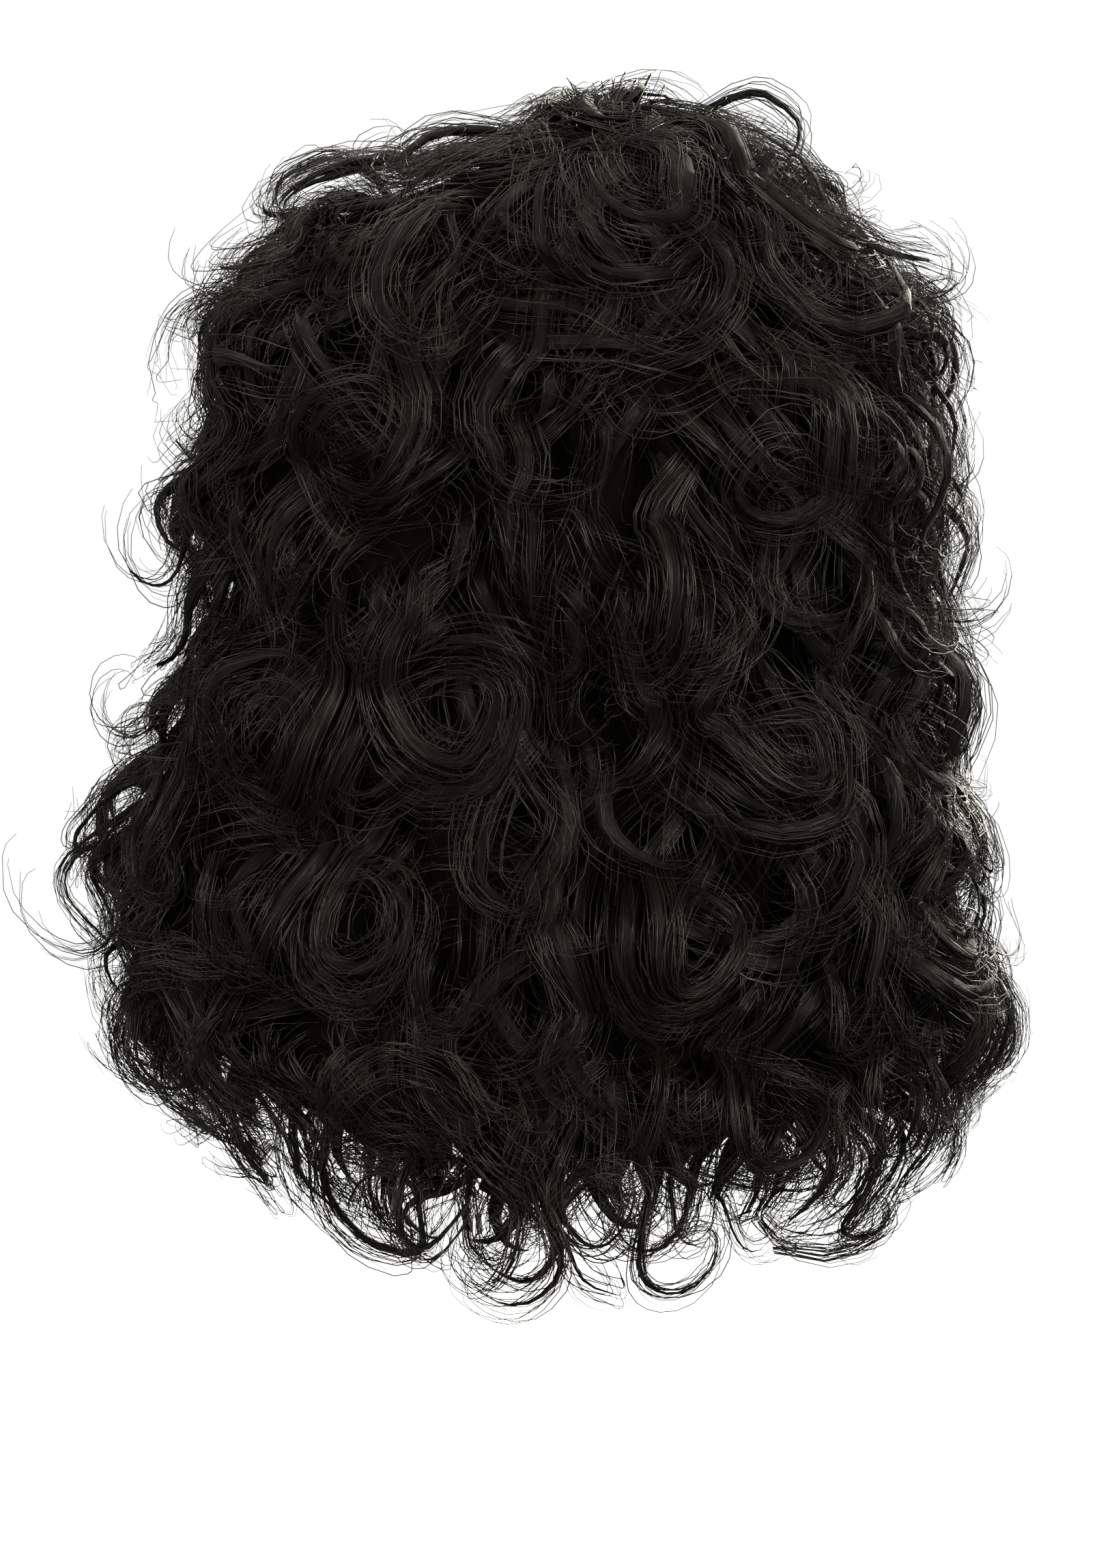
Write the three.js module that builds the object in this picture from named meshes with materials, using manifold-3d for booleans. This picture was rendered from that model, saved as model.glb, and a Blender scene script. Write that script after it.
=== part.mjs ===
// A curly shoulder-length wig: a stretch cap with an elastic band inside its edge, and eight
// pieces of curled hair that lie on the cap and hang below it. Millimetres, +Z up, and the
// wearer faces -Y, so the wearer's left is +X. The origin is the point inside the cap that rests
// on the crown of the head.
import * as THREE from "three";
import { mergeVertices } from "three/addons/utils/BufferGeometryUtils.js";
import Module from "manifold-3d";

const wasm = await Module();
wasm.setup();

// Cap and band
const CAP_WALL = 1.5;
const BAND_WALL = 1.2;
const BAND_WIDTH = 15;
const FIT_GAP = 0.6; // left between pieces that lie on each other

// Hair
const RIDGE = 4; // how far a wavy lock's ridge stands out, and the groove beside it dips in
const SWING = 3.5; // how far a wavy lock swings to each side, in degrees of azimuth
const TIER_WAVE = 0.2; // how far its tip reaches past a tier's edge, in levels
const CURL_WIDTH = 0.34; // half the width of a curled lock, as a share of its curl's radius
const CURL_DEPTH = 0.22; // from the middle of its thickness to its ridge, likewise
const CURL_BASE = 0.7; // from there to its flat underside, as a share of that
const CURL_LIFT = 10.5; // from the hair's middle surface to the middle of a curl that lies on it
const CURL_TURNS = 0.86;
const CURL_CLOSING = 0.22; // how much smaller a curl's path gets by its tip
const CURL_STOPS = 7; // points of its path
const TAIL_LENGTH = 2.2; // from a curl's centre up to its root, in curl radii
const ROOT_DEPTH = 6; // how deep a root is set in the hair under it
const BEND_ACROSS = 1.1; // of a lock between its root and its curl, in radii of its path
const BEND_UP = 0.45; // likewise, as a share of the tail
const BEND_OUT = 0.8; // likewise, as a share of the lift
const TIP_WIDTH = 0.5; // of the lock's full width
const TIP_POWER = 3; // how late the lock narrows to its tip
const WAVE_START = 2; // the level where wavy locks have their full ridge and swing
const WAVE_DRIFT = 3; // turns by which the swings round the head are out of step

// Facets: nested walls have the same columns, so that they keep an even gap. A wavy lock has a
// column on its ridge and one in the groove beside it.
const COLUMN_STEP = 15;
const LOCK_STEP = COLUMN_STEP / 2;
const LOCK_ROWS = 0.5;
const LEAST_STEP = 0.1; // the shortest, as a share of the full one

// The head inside the cap, from its crown down: half width, and reach to the brow and the nape.
const HEAD = [
  { z: 0, side: 0, front: 0, back: 0 },
  { z: -4, side: 26, front: 32, back: 34 },
  { z: -16, side: 50, front: 62, back: 65 },
  { z: -36, side: 66, front: 82, back: 85 },
  { z: -62, side: 75, front: 93, back: 96 },
  { z: -95, side: 79, front: 98, back: 101 },
  { z: -130, side: 77, front: 96, back: 99 },
  { z: -162, side: 70, front: 88, back: 90 },
];

const CROWN_FLAT = -10; // the z above which the head is nearly flat

// The room for the neck and shoulders inside the hair that hangs below the cap. Its first row
// takes the place of the last row of HEAD, because the hair there stands clear of the ears.
const NECK = [
  { z: -162, side: 88, front: 104, back: 92 },
  { z: -215, side: 98, front: 104, back: 84 },
  { z: -262, side: 106, front: 102, back: 82 },
  { z: -302, side: 104, front: 100, back: 82 },
  { z: -340, side: 96, front: 96, back: 84 },
  { z: -374, side: 80, front: 92, back: 90 },
];

// The outside of the hair under its curls, from the crown down. Row n of HAIR lies over row n of
// HEAD or NECK, and a level such as 6.5 is halfway between rows 6 and 7.
const HAIR = [
  { z: 38, left: 0, right: 0, front: 0, back: 0 },
  { z: 32, left: 30, right: 48, front: 40, back: 44 },
  { z: 16, left: 74, right: 84, front: 78, back: 84 },
  { z: -6, left: 112, right: 106, front: 102, back: 112 },
  { z: -40, left: 136, right: 136, front: 110, back: 132 },
  { z: -88, left: 138, right: 142, front: 106, back: 140 },
  { z: -135, left: 138, right: 142, front: 98, back: 140 },
  { z: -180, left: 148, right: 136, front: 92, back: 136 },
  { z: -225, left: 166, right: 148, front: 90, back: 132 },
  { z: -270, left: 174, right: 150, front: 90, back: 130 },
  { z: -310, left: 154, right: 150, front: 92, back: 130 },
  { z: -345, left: 124, right: 140, front: 92, back: 128 },
  { z: -378, left: 98, right: 118, front: 90, back: 124 },
];

// Edges by azimuth, which is 0 at the nape, 90 over an ear and 180 at the brow.
const CAP_EDGE = [
  { azimuth: 0, z: -160 },
  { azimuth: 50, z: -146 },
  { azimuth: 80, z: -104 },
  { azimuth: 100, z: -100 },
  { azimuth: 120, z: -112 },
  { azimuth: 150, z: -66 },
  { azimuth: 180, z: -58 },
];
const CHEEK_AZIMUTH = 120;
const TEMPLE_AZIMUTH = 135; // where the edge beside the face ends, and the hairline begins
const HAIR_HEM = [
  { azimuth: 0, level: 12 },
  { azimuth: 45, level: 11.5 },
  { azimuth: 90, level: 10.4 },
  { azimuth: CHEEK_AZIMUTH, level: 9.6 },
  { azimuth: TEMPLE_AZIMUTH, level: 5.05 },
  { azimuth: 150, level: 4.3 },
  { azimuth: 180, level: 3.95 },
];

// Levels and azimuths where one piece of hair meets the next
const CROWN_LEVEL = 3;
const UPPER_LEVEL = 6;
const MIDDLE_LEVEL = 9;
const BACK_AZIMUTH = 45;
const FRONT_AZIMUTH = 90;
const PARTING_AZIMUTH = 180;
const SEAM_RADIUS = 132; // about how far such a seam is from the middle of the head
const LEVEL_DROP = 45; // about how far apart two levels are

// Curls, each by the place of its centre, in the piece of hair that its root is in. hand is 1 for
// one that falls on the higher azimuth's side of its centre and turns back under it, and -1 for
// one that falls on the other side. One that stands off the hair, as at the outline, has the
// angle that it stands at and a lift of its own.
const CROWN_CURLS = [
  { azimuth: -20, level: 1.75, radius: 25, hand: 1 },
  { azimuth: -60, level: 1.9, radius: 16, hand: -1, stand: -70, lift: 12 },
  { azimuth: 30, level: 2.3, radius: 24, hand: 1 },
  { azimuth: 66, level: 2.6, radius: 23, hand: 1 },
  { azimuth: -50, level: 2.8, radius: 26, hand: 1 },
  { azimuth: -11, level: 2.95, radius: 26, hand: -1 },
  { azimuth: 108, level: 2.4, radius: 24, hand: -1 },
  { azimuth: -126, level: 2.4, radius: 24, hand: 1 },
  { azimuth: 172, level: 2.4, radius: 24, hand: 1 },
  { azimuth: 20, level: 3.95, radius: 25, hand: 1 },
  { azimuth: -17, level: 3.95, radius: 22, hand: -1 },
  { azimuth: -42, level: 3.95, radius: 24, hand: 1 },
  { azimuth: 60, level: 3.6, radius: 23, hand: -1 },
  { azimuth: 86, level: 3.5, radius: 18, hand: -1, stand: 75, lift: 10 },
  { azimuth: -66, level: 3.6, radius: 23, hand: 1 },
  { azimuth: -86, level: 3.5, radius: 19, hand: 1, stand: -75, lift: 8 },
  { azimuth: 130, level: 3.7, radius: 22, hand: -1 },
  { azimuth: -134, level: 3.6, radius: 22, hand: 1 },
];
const UPPER_BACK_CURLS = [
  { azimuth: 32, level: 5.1, radius: 26, hand: -1 },
  { azimuth: 4, level: 5.3, radius: 24, hand: 1 },
  { azimuth: -30, level: 5.3, radius: 26, hand: -1 },
  { azimuth: 37, level: 6.2, radius: 24, hand: 1 },
  { azimuth: -19, level: 6.3, radius: 24, hand: 1 },
  { azimuth: -39, level: 6.5, radius: 23, hand: -1 },
  { azimuth: 16, level: 7.15, radius: 26, hand: 1 },
];
const MIDDLE_BACK_CURLS = [
  { azimuth: 40, level: 7.45, radius: 26, hand: -1 },
  { azimuth: -6, level: 7.4, radius: 21, hand: -1 },
  { azimuth: -30, level: 7.45, radius: 26, hand: 1 },
  { azimuth: 5, level: 8.4, radius: 21, hand: 1 },
  { azimuth: -33, level: 8.5, radius: 22, hand: -1 },
  { azimuth: 39, level: 8.8, radius: 22, hand: -1 },
  { azimuth: 23, level: 8.95, radius: 22, hand: 1 },
  { azimuth: -16, level: 9.0, radius: 21, hand: 1 },
  { azimuth: -39, level: 9.4, radius: 23, hand: -1 },
  { azimuth: 5, level: 9.8, radius: 22, hand: -1 },
];
const LOWER_BACK_CURLS = [
  { azimuth: 26, level: 10.7, radius: 21, hand: 1 },
  { azimuth: -29, level: 10.6, radius: 27, hand: 1 },
  { azimuth: -5, level: 11.0, radius: 23, hand: -1 },
  { azimuth: 36, level: 11.7, radius: 25, hand: 1 },
  { azimuth: 11, level: 12.2, radius: 19, hand: -1 },
  { azimuth: -40, level: 11.5, radius: 20, hand: -1 },
];
const LEFT_SIDE_CURLS = [
  { azimuth: 67, level: 5.0, radius: 24, hand: -1 },
  { azimuth: 86, level: 5.6, radius: 18, hand: -1, stand: 75, lift: 10 },
  { azimuth: 68, level: 6.7, radius: 24, hand: 1 },
  { azimuth: 86, level: 7.1, radius: 17, hand: -1, stand: 75, lift: 9 },
  { azimuth: 66, level: 8.3, radius: 24, hand: -1 },
  { azimuth: 86, level: 8.6, radius: 19, hand: -1, stand: 75, lift: 11 },
  { azimuth: 66, level: 9.9, radius: 23, hand: 1 },
  { azimuth: 57, level: 11.2, radius: 20, hand: -1 },
  { azimuth: 82, level: 10.7, radius: 19, hand: 1 },
];
const RIGHT_SIDE_CURLS = [
  { azimuth: -86, level: 4.9, radius: 22, hand: 1, stand: -75, lift: 7 },
  { azimuth: -66, level: 5.4, radius: 24, hand: 1 },
  { azimuth: -86, level: 6.1, radius: 20, hand: 1, stand: -75, lift: 9 },
  { azimuth: -62, level: 7.5, radius: 27, hand: -1 },
  { azimuth: -86, level: 8.0, radius: 20, hand: 1, stand: -75, lift: 8 },
  { azimuth: -68, level: 9.1, radius: 23, hand: 1 },
  { azimuth: -61, level: 10.4, radius: 21, hand: -1 },
  { azimuth: -82, level: 10.6, radius: 20, hand: 1 },
  { azimuth: -55, level: 11.6, radius: 19, hand: 1 },
];
const LEFT_FRONT_CURLS = [
  { azimuth: 108, level: 4.8, radius: 23, hand: 1 },
  { azimuth: 112, level: 6.0, radius: 22, hand: -1 },
  { azimuth: 103, level: 7.2, radius: 22, hand: 1 },
  { azimuth: 112, level: 8.2, radius: 22, hand: -1 },
  { azimuth: 105, level: 9.5, radius: 21, hand: 1 },
];
const RIGHT_FRONT_CURLS = LEFT_FRONT_CURLS.map((curl, i) => ({
  ...curl,
  azimuth: -curl.azimuth,
  level: curl.level + (i % 2 ? 0.15 : -0.1), // the two sides aren't quite alike
  hand: -curl.hand,
}));
// Curls on the edge beside the face, by their share of the way down it. Those of the left side;
// the right side has their mirror images.
const FACE_CURLS = [
  { along: 0.23, radius: 19, hand: 1, lift: 13 },
  { along: 0.46, radius: 18, hand: -1, lift: 13 },
  { along: 0.7, radius: 19, hand: 1, lift: 13 },
  { along: 0.94, radius: 18, hand: -1, lift: 13 },
];

const HAIR_FIBRE = { color: 0x131214, roughness: 0.42, metalness: 0 };
const CAP_NET = { color: 0x1c1b1d, roughness: 0.85, metalness: 0 };
const BAND_ELASTIC = { color: 0x232225, roughness: 0.75, metalness: 0 };

const INNER = [
  ...HEAD.slice(0, -1).map((row) => widened(row, CAP_WALL + FIT_GAP)),
  ...NECK.map((row) => widened(row, 0)),
];

// Tables and sections

const mix = (a, b, share) => a + (b - a) * share;

// An azimuth as a turn to the left, or a negative one to the right.
const turnOf = (azimuth) => (azimuth > 180 ? azimuth - 360 : azimuth);

// A row of the head or neck, with its wall moved out by a distance. On the flat of the crown it
// moves up by as much, and on the sides by half.
function widened(row, by) {
  const grow = row.side > 0 ? by : 0;
  return {
    z: row.z + (row.z > CROWN_FLAT ? by : by / 2),
    left: row.side + grow,
    right: row.side + grow,
    front: row.front + grow,
    back: row.back + grow,
  };
}

// The row of a table at a level, which may lie between two rows or past the last one.
function rowAt(table, level) {
  const i = Math.max(0, Math.min(Math.floor(level), table.length - 2));
  const row = {};
  for (const column of Object.keys(table[0]))
    row[column] = mix(table[i][column], table[i + 1][column], level - i);
  return row;
}

// The level of a table whose z is the one given.
function levelOf(table, z) {
  const i = table.findIndex((row, n) => n > 0 && row.z <= z);
  const low = i < 0 ? table.length - 1 : i;
  return low - 1 + (table[low - 1].z - z) / (table[low - 1].z - table[low].z);
}

// A column of an edge table at an azimuth on either side.
function edgeAt(table, column, azimuth) {
  const turn = Math.abs(azimuth);
  const i = Math.max(1, table.findIndex((row) => row.azimuth >= turn));
  const from = table[i - 1];
  const to = table[i];
  return mix(from[column], to[column], (turn - from.azimuth) / (to.azimuth - from.azimuth));
}

// A point of an oval section, by its azimuth in degrees from the nape towards the wearer's left.
function ovalPoint(row, azimuth) {
  const s = Math.sin(THREE.MathUtils.degToRad(azimuth));
  const c = Math.cos(THREE.MathUtils.degToRad(azimuth));
  return new THREE.Vector3(
    s * (s > 0 ? row.left : row.right),
    c * (c > 0 ? row.back : row.front),
    row.z,
  );
}

const outerPoint = (azimuth, level) => ovalPoint(rowAt(HAIR, level), azimuth);

// The inside of the hair, moved in by a distance.
function innerPoint(azimuth, level, by) {
  const row = rowAt(INNER, level);
  for (const column of Object.keys(row)) row[column] -= row.left > by || column === "z" ? by : 0;
  return ovalPoint(row, azimuth);
}

// Solids

// A closed solid from a list of triangles, with collapsed ones left out.
function solidFrom(points, faces) {
  const loose = new THREE.BufferGeometry().setFromPoints(points);
  loose.setIndex(faces.flat());
  const merged = mergeVertices(loose, 1e-3);
  const corners = [];
  for (let i = 0; i < merged.index.count; i += 3) {
    const [a, b, c] = [0, 1, 2].map((k) => merged.index.getX(i + k));
    if (a !== b && b !== c && c !== a) corners.push(a, b, c);
  }
  return new wasm.Manifold(
    new wasm.Mesh({
      numProp: 3,
      vertProperties: merged.attributes.position.array,
      triVerts: new Uint32Array(corners),
    }),
  );
}

// A closed wall between an outer and an inner grid of points. Each grid has columns, which run
// round the nape to the left, and rows, which run down, and says where they lie. The two may have
// different steps. A whole ring closes on itself.
function wallSolid(outer, inner, ring) {
  const faces = [];
  const outerAt = gridIndex(outer, 0);
  const innerAt = gridIndex(inner, outer.points.flat().length);
  addGrid(faces, outer, outerAt, ring, false);
  addGrid(faces, inner, innerAt, ring, true);

  const across = (grid, at, r) => {
    const places = ring ? [...grid.columns, grid.columns[0] + 360] : grid.columns;
    return places.map((t, c) => ({ t, point: at(c, r) }));
  };
  const down = (grid, at, c) => grid.rows.map((t, r) => ({ t, point: at(c, r) }));
  const outerLow = across(outer, outerAt, outer.rows.length - 1);
  const innerLow = across(inner, innerAt, inner.rows.length - 1);
  addStrip(faces, across(outer, outerAt, 0), across(inner, innerAt, 0), true);
  addStrip(faces, outerLow, innerLow, false);
  if (!ring) {
    const outerEnd = down(outer, outerAt, outer.columns.length - 1);
    const innerEnd = down(inner, innerAt, inner.columns.length - 1);
    addStrip(faces, down(outer, outerAt, 0), down(inner, innerAt, 0), false);
    addStrip(faces, outerEnd, innerEnd, true);
  }
  return solidFrom([...outer.points.flat(), ...inner.points.flat()], faces);
}

function gridIndex({ columns, rows }, start) {
  return (c, r) => start + (c % columns.length) * rows.length + r;
}

// The faces of a grid, which look out, or in.
function addGrid(faces, { columns, rows }, at, ring, inwards) {
  for (let c = 0; c < columns.length - (ring ? 0 : 1); c++)
    for (let r = 0; r < rows.length - 1; r++) {
      const [a, b, d, e] = [at(c, r), at(c, r + 1), at(c + 1, r + 1), at(c + 1, r)];
      if (inwards) faces.push([a, b, d], [a, d, e]);
      else faces.push([a, d, b], [a, e, d]);
    }
}

// The strip between two edges whose points lie at places t along them. Two walls that meet have
// the same strip, turned to face the other way.
function addStrip(faces, outer, inner, turned) {
  const add = (a, b, c) => faces.push(turned ? [a, c, b] : [a, b, c]);
  let o = 0;
  let i = 0;
  while (o < outer.length - 1 || i < inner.length - 1) {
    const nextOuter = outer[o + 1]?.t ?? Infinity;
    const nextInner = inner[i + 1]?.t ?? Infinity;
    if (nextOuter <= nextInner) {
      add(outer[o].point, outer[o + 1].point, inner[i].point);
      o++;
    } else {
      add(outer[o].point, inner[i + 1].point, inner[i].point);
      i++;
    }
  }
}

// Places from one edge to another, at the even steps between them.
function stepsBetween(from, to, step) {
  const places = [from];
  const least = step * LEAST_STEP;
  for (let place = Math.ceil((from + least) / step) * step; place < to - least; place += step)
    places.push(place);
  return [...places, to];
}

// A curled lock with a ridge along it and a flat underside, tapered to its tip, from the stations
// of its path. face is the way that the ridge looks.
function lockSolid(stations, halfWidth, halfDepth) {
  const last = stations.length - 1;
  const sections = stations.map(({ centre, face }, i) => {
    const along = stations[Math.min(i + 1, last)].centre.clone();
    along.sub(stations[Math.max(i - 1, 0)].centre).normalize();
    const across = along.clone().cross(face).normalize();
    const ridge = across.clone().cross(along);
    const share = mix(1, TIP_WIDTH, (i / last) ** TIP_POWER);
    const base = ridge.clone().multiplyScalar(-halfDepth * CURL_BASE);
    return [
      ridge.clone().multiplyScalar(halfDepth),
      base.clone().addScaledVector(across, halfWidth),
      base.clone().addScaledVector(across, -halfWidth),
    ].map((corner) => corner.multiplyScalar(share).add(centre));
  });
  return loftSolid(sections);
}

// A closed solid through sections with the same number of corners.
function loftSolid(sections) {
  const sides = sections[0].length;
  const last = sections.length - 1;
  const at = (i, k) => i * sides + (k % sides);
  const faces = [];
  for (let k = 0; k < sides; k++) {
    for (let i = 0; i < last; i++) {
      faces.push([at(i, k), at(i, k + 1), at(i + 1, k + 1)]);
      faces.push([at(i, k), at(i + 1, k + 1), at(i + 1, k)]);
    }
  }
  for (let k = 1; k < sides - 1; k++) {
    faces.push([at(0, 0), at(0, k + 1), at(0, k)]);
    faces.push([at(last, 0), at(last, k), at(last, k + 1)]);
  }
  return solidFrom(sections.flat(), faces);
}

// The cap, and the band inside its edge

// A ring of the head's surface, moved out by a distance, at each azimuth's levels.
function headGrid(by, levelsAt) {
  const columns = [];
  for (let azimuth = 0; azimuth < 360; azimuth += COLUMN_STEP) columns.push(azimuth);
  const points = columns.map((azimuth) =>
    levelsAt(turnOf(azimuth)).map((level) => ovalPoint(widened(rowAt(HEAD, level), by), azimuth)),
  );
  return { columns, rows: points[0].map((_, row) => row), points };
}

function capSolid() {
  const levelsAt = (azimuth) => {
    const edge = levelOf(HEAD, edgeAt(CAP_EDGE, "z", azimuth));
    return HEAD.map((_, level) => Math.min(level, edge));
  };
  return wallSolid(headGrid(CAP_WALL, levelsAt), headGrid(0, levelsAt), true);
}

function bandSolid() {
  const levelsAt = (azimuth) => {
    const edge = edgeAt(CAP_EDGE, "z", azimuth);
    const top = levelOf(HEAD, edge + BAND_WIDTH);
    const low = levelOf(HEAD, edge);
    // A row of the head's table that the band crosses is a fold in it too.
    const fold = Math.ceil(top) < low ? Math.ceil(top) : mix(top, low, 0.5);
    return [top, fold, low];
  };
  return wallSolid(headGrid(-FIT_GAP, levelsAt), headGrid(-FIT_GAP - BAND_WALL, levelsAt), true);
}

// Hair

// The hair's surface at a place: a point, and the directions out and to the wearer's left.
function hairFrame(azimuth, level) {
  const small = 0.05;
  const left = outerPoint(azimuth + small, level).sub(outerPoint(azimuth - small, level));
  const up = outerPoint(azimuth, level - small).sub(outerPoint(azimuth, level + small));
  left.normalize();
  return { point: outerPoint(azimuth, level), left, out: up.cross(left).normalize() };
}

// Places on the hair, by their distance to the left of a curl's centre and up from it.
function placesOnHair({ azimuth, level }) {
  const degree = outerPoint(azimuth + 0.5, level).distanceTo(outerPoint(azimuth - 0.5, level));
  const drop = outerPoint(azimuth, level - 0.5).distanceTo(outerPoint(azimuth, level + 0.5));
  return (left, up) => hairFrame(azimuth + left / degree, level - up / drop);
}

// The same on the edge of the hair beside the face, which is flat.
function placesBesideFace({ along, side }) {
  const edgePoint = (share, pointAt) => {
    const azimuth = mix(TEMPLE_AZIMUTH, CHEEK_AZIMUTH, share);
    return pointAt(side * azimuth, edgeAt(HAIR_HEM, "level", azimuth), 0);
  };
  const outside = edgePoint(along, outerPoint);
  const inside = edgePoint(along, innerPoint);
  const left = inside.clone().sub(outside).multiplyScalar(side).normalize();
  const up = edgePoint(0, innerPoint).sub(edgePoint(1, innerPoint)).normalize();
  const out = up.clone().cross(left).normalize();
  const centre = outside.add(inside).multiplyScalar(0.5);
  return (toLeft, upwards) => ({
    point: centre.clone().addScaledVector(left, toLeft).addScaledVector(up, upwards),
    left: left.clone(),
    out: out.clone(),
  });
}

// The stations of a lock: down from its root in the hair, then round its curl.
function curlStations({ radius, hand, stand = 0, lift = CURL_LIFT, ...where }) {
  const placeAt = "along" in where ? placesBesideFace(where) : placesOnHair(where);
  const lean = THREE.MathUtils.degToRad(stand);
  const pathRadius = radius * (1 - CURL_WIDTH);
  // A station by its distance across the hair, up it and out from it, from the curl's centre.
  const station = (across, up, out) => {
    const place = placeAt(hand * across * Math.cos(lean), up);
    const height = out + hand * across * Math.sin(lean);
    return {
      centre: place.point.addScaledVector(place.out, height),
      face: place.out.multiplyScalar(Math.cos(lean)).addScaledVector(place.left, -Math.sin(lean)),
    };
  };
  const tail = radius * TAIL_LENGTH;
  const stations = [
    station(0, tail, -ROOT_DEPTH),
    station(pathRadius * BEND_ACROSS, tail * BEND_UP, lift * BEND_OUT),
  ];
  for (let i = 0; i <= CURL_STOPS; i++) {
    const share = i / CURL_STOPS;
    const angle = -2 * Math.PI * CURL_TURNS * share;
    const r = pathRadius * (1 - CURL_CLOSING * share);
    stations.push(station(r * Math.cos(angle), r * Math.sin(angle), lift));
  }
  return stations;
}

// 1 on the ridge of a wavy lock and -1 in a groove.
const ridgeAt = (azimuth) => Math.cos((Math.PI * azimuth) / LOCK_STEP);

// How far a wavy lock's tip reaches past a tier's edge. Where two pieces lie side by side it
// doesn't, so that the four that meet there share one corner.
function tipAt(azimuth) {
  const turn = Math.abs(turnOf(azimuth));
  const seam = [BACK_AZIMUTH, FRONT_AZIMUTH, PARTING_AZIMUTH].some((a) => Math.abs(a - turn) < 1);
  return seam ? 0 : TIER_WAVE * ridgeAt(azimuth);
}

// The outside of the hair under its curls: wavy locks that swing from side to side as they fall
// from the crown. Moved out by a distance.
function wavyPoint(azimuth, level, by) {
  if (level === 0) return new THREE.Vector3(0, 0, HAIR[0].z + by);
  const depth = Math.min(1, level / WAVE_START);
  const phase = Math.PI * level + THREE.MathUtils.degToRad(azimuth * WAVE_DRIFT);
  const swing = SWING * depth * Math.sin(phase);
  const { point, out } = hairFrame(azimuth + swing, level);
  return point.addScaledVector(out, RIDGE * depth * ridgeAt(azimuth) + by);
}

// The wall of a piece of hair, between two azimuths and two levels. grow makes it that much
// larger all round.
function hairWall({ from, to, top, low }, grow) {
  const ring = to - from === 360;
  const gap = FIT_GAP - grow;
  const turn = ring ? 0 : THREE.MathUtils.radToDeg(gap / SEAM_RADIUS);
  const step = gap / LEVEL_DROP;
  const grid = (columnStep, rowStep, reach, place) => {
    const ends = stepsBetween(from + turn, to - turn, columnStep);
    const columns = ring ? ends.slice(0, -1) : ends;
    const first = top ? top - TIER_WAVE : 0;
    const rows = stepsBetween(first, (low ?? HAIR.length - 1) + TIER_WAVE, rowStep);
    const points = columns.map((azimuth) => {
      const tip = reach(azimuth);
      const high = top ? top + tip + step : 0;
      const end = (low ?? edgeAt(HAIR_HEM, "level", turnOf(azimuth))) + tip - step;
      return rows.map((level) => place(azimuth, THREE.MathUtils.clamp(level, high, end), grow));
    });
    return { columns, rows, points };
  };
  const outer = grid(LOCK_STEP, LOCK_ROWS, tipAt, wavyPoint);
  const inner = grid(COLUMN_STEP, 1, () => 0, innerPoint);
  return wallSolid(outer, inner, ring);
}

// The curled locks of a piece of hair. grow makes them that much thicker.
function hairCurls({ curls }, grow) {
  return curls
    .map((curl) => {
      const halfWidth = curl.radius * CURL_WIDTH + grow;
      return lockSolid(curlStations(curl), halfWidth, curl.radius * CURL_DEPTH + grow);
    })
    .reduce((all, lock) => all.add(lock));
}

const UPPER_BACK = { from: -BACK_AZIMUTH, to: BACK_AZIMUTH, top: CROWN_LEVEL, low: UPPER_LEVEL };
const MIDDLE_BACK = { ...UPPER_BACK, top: UPPER_LEVEL, low: MIDDLE_LEVEL };
const LOWER_BACK = { from: -BACK_AZIMUTH, to: BACK_AZIMUTH, top: MIDDLE_LEVEL };
const LEFT_SIDE = { from: BACK_AZIMUTH, to: FRONT_AZIMUTH, top: CROWN_LEVEL };
const LEFT_FRONT = { from: FRONT_AZIMUTH, to: PARTING_AZIMUTH, top: CROWN_LEVEL };
const mirrored = (piece) => ({ ...piece, from: -piece.to, to: -piece.from });
const faceCurls = (side) => FACE_CURLS.map((curl) => ({ ...curl, side, hand: side * curl.hand }));

// The pieces of hair, each of which gives way to those before it.
const HAIR_PIECES = [
  { name: "crown_curls", from: 0, to: 360, top: 0, low: CROWN_LEVEL, curls: CROWN_CURLS },
  { name: "upper_back_curls", ...UPPER_BACK, curls: UPPER_BACK_CURLS },
  { name: "left_front_curls", ...LEFT_FRONT, curls: [...LEFT_FRONT_CURLS, ...faceCurls(1)] },
  {
    name: "right_front_curls",
    ...mirrored(LEFT_FRONT),
    curls: [...RIGHT_FRONT_CURLS, ...faceCurls(-1)],
  },
  { name: "left_side_curls", ...LEFT_SIDE, curls: LEFT_SIDE_CURLS },
  { name: "right_side_curls", ...mirrored(LEFT_SIDE), curls: RIGHT_SIDE_CURLS },
  { name: "middle_back_curls", ...MIDDLE_BACK, curls: MIDDLE_BACK_CURLS },
  { name: "lower_back_curls", ...LOWER_BACK, curls: LOWER_BACK_CURLS },
];

// The largest body of a solid: what a cut leaves loose isn't kept.
function mainBody(solid) {
  return solid.decompose().reduce((a, b) => (b.volume() > a.volume() ? b : a));
}

// The wig

function meshOf(name, solid, finish) {
  const { vertProperties, triVerts } = solid.getMesh();
  const geometry = new THREE.BufferGeometry()
    .setAttribute("position", new THREE.BufferAttribute(vertProperties, 3))
    .setIndex(new THREE.BufferAttribute(triVerts, 1));
  geometry.computeVertexNormals();
  const mesh = new THREE.Mesh(geometry, new THREE.MeshStandardMaterial(finish));
  mesh.name = name;
  return mesh;
}

const wig = new THREE.Group();
wig.add(meshOf("cap", capSolid(), CAP_NET));
wig.add(meshOf("edge_band", bandSolid(), BAND_ELASTIC));

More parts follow.
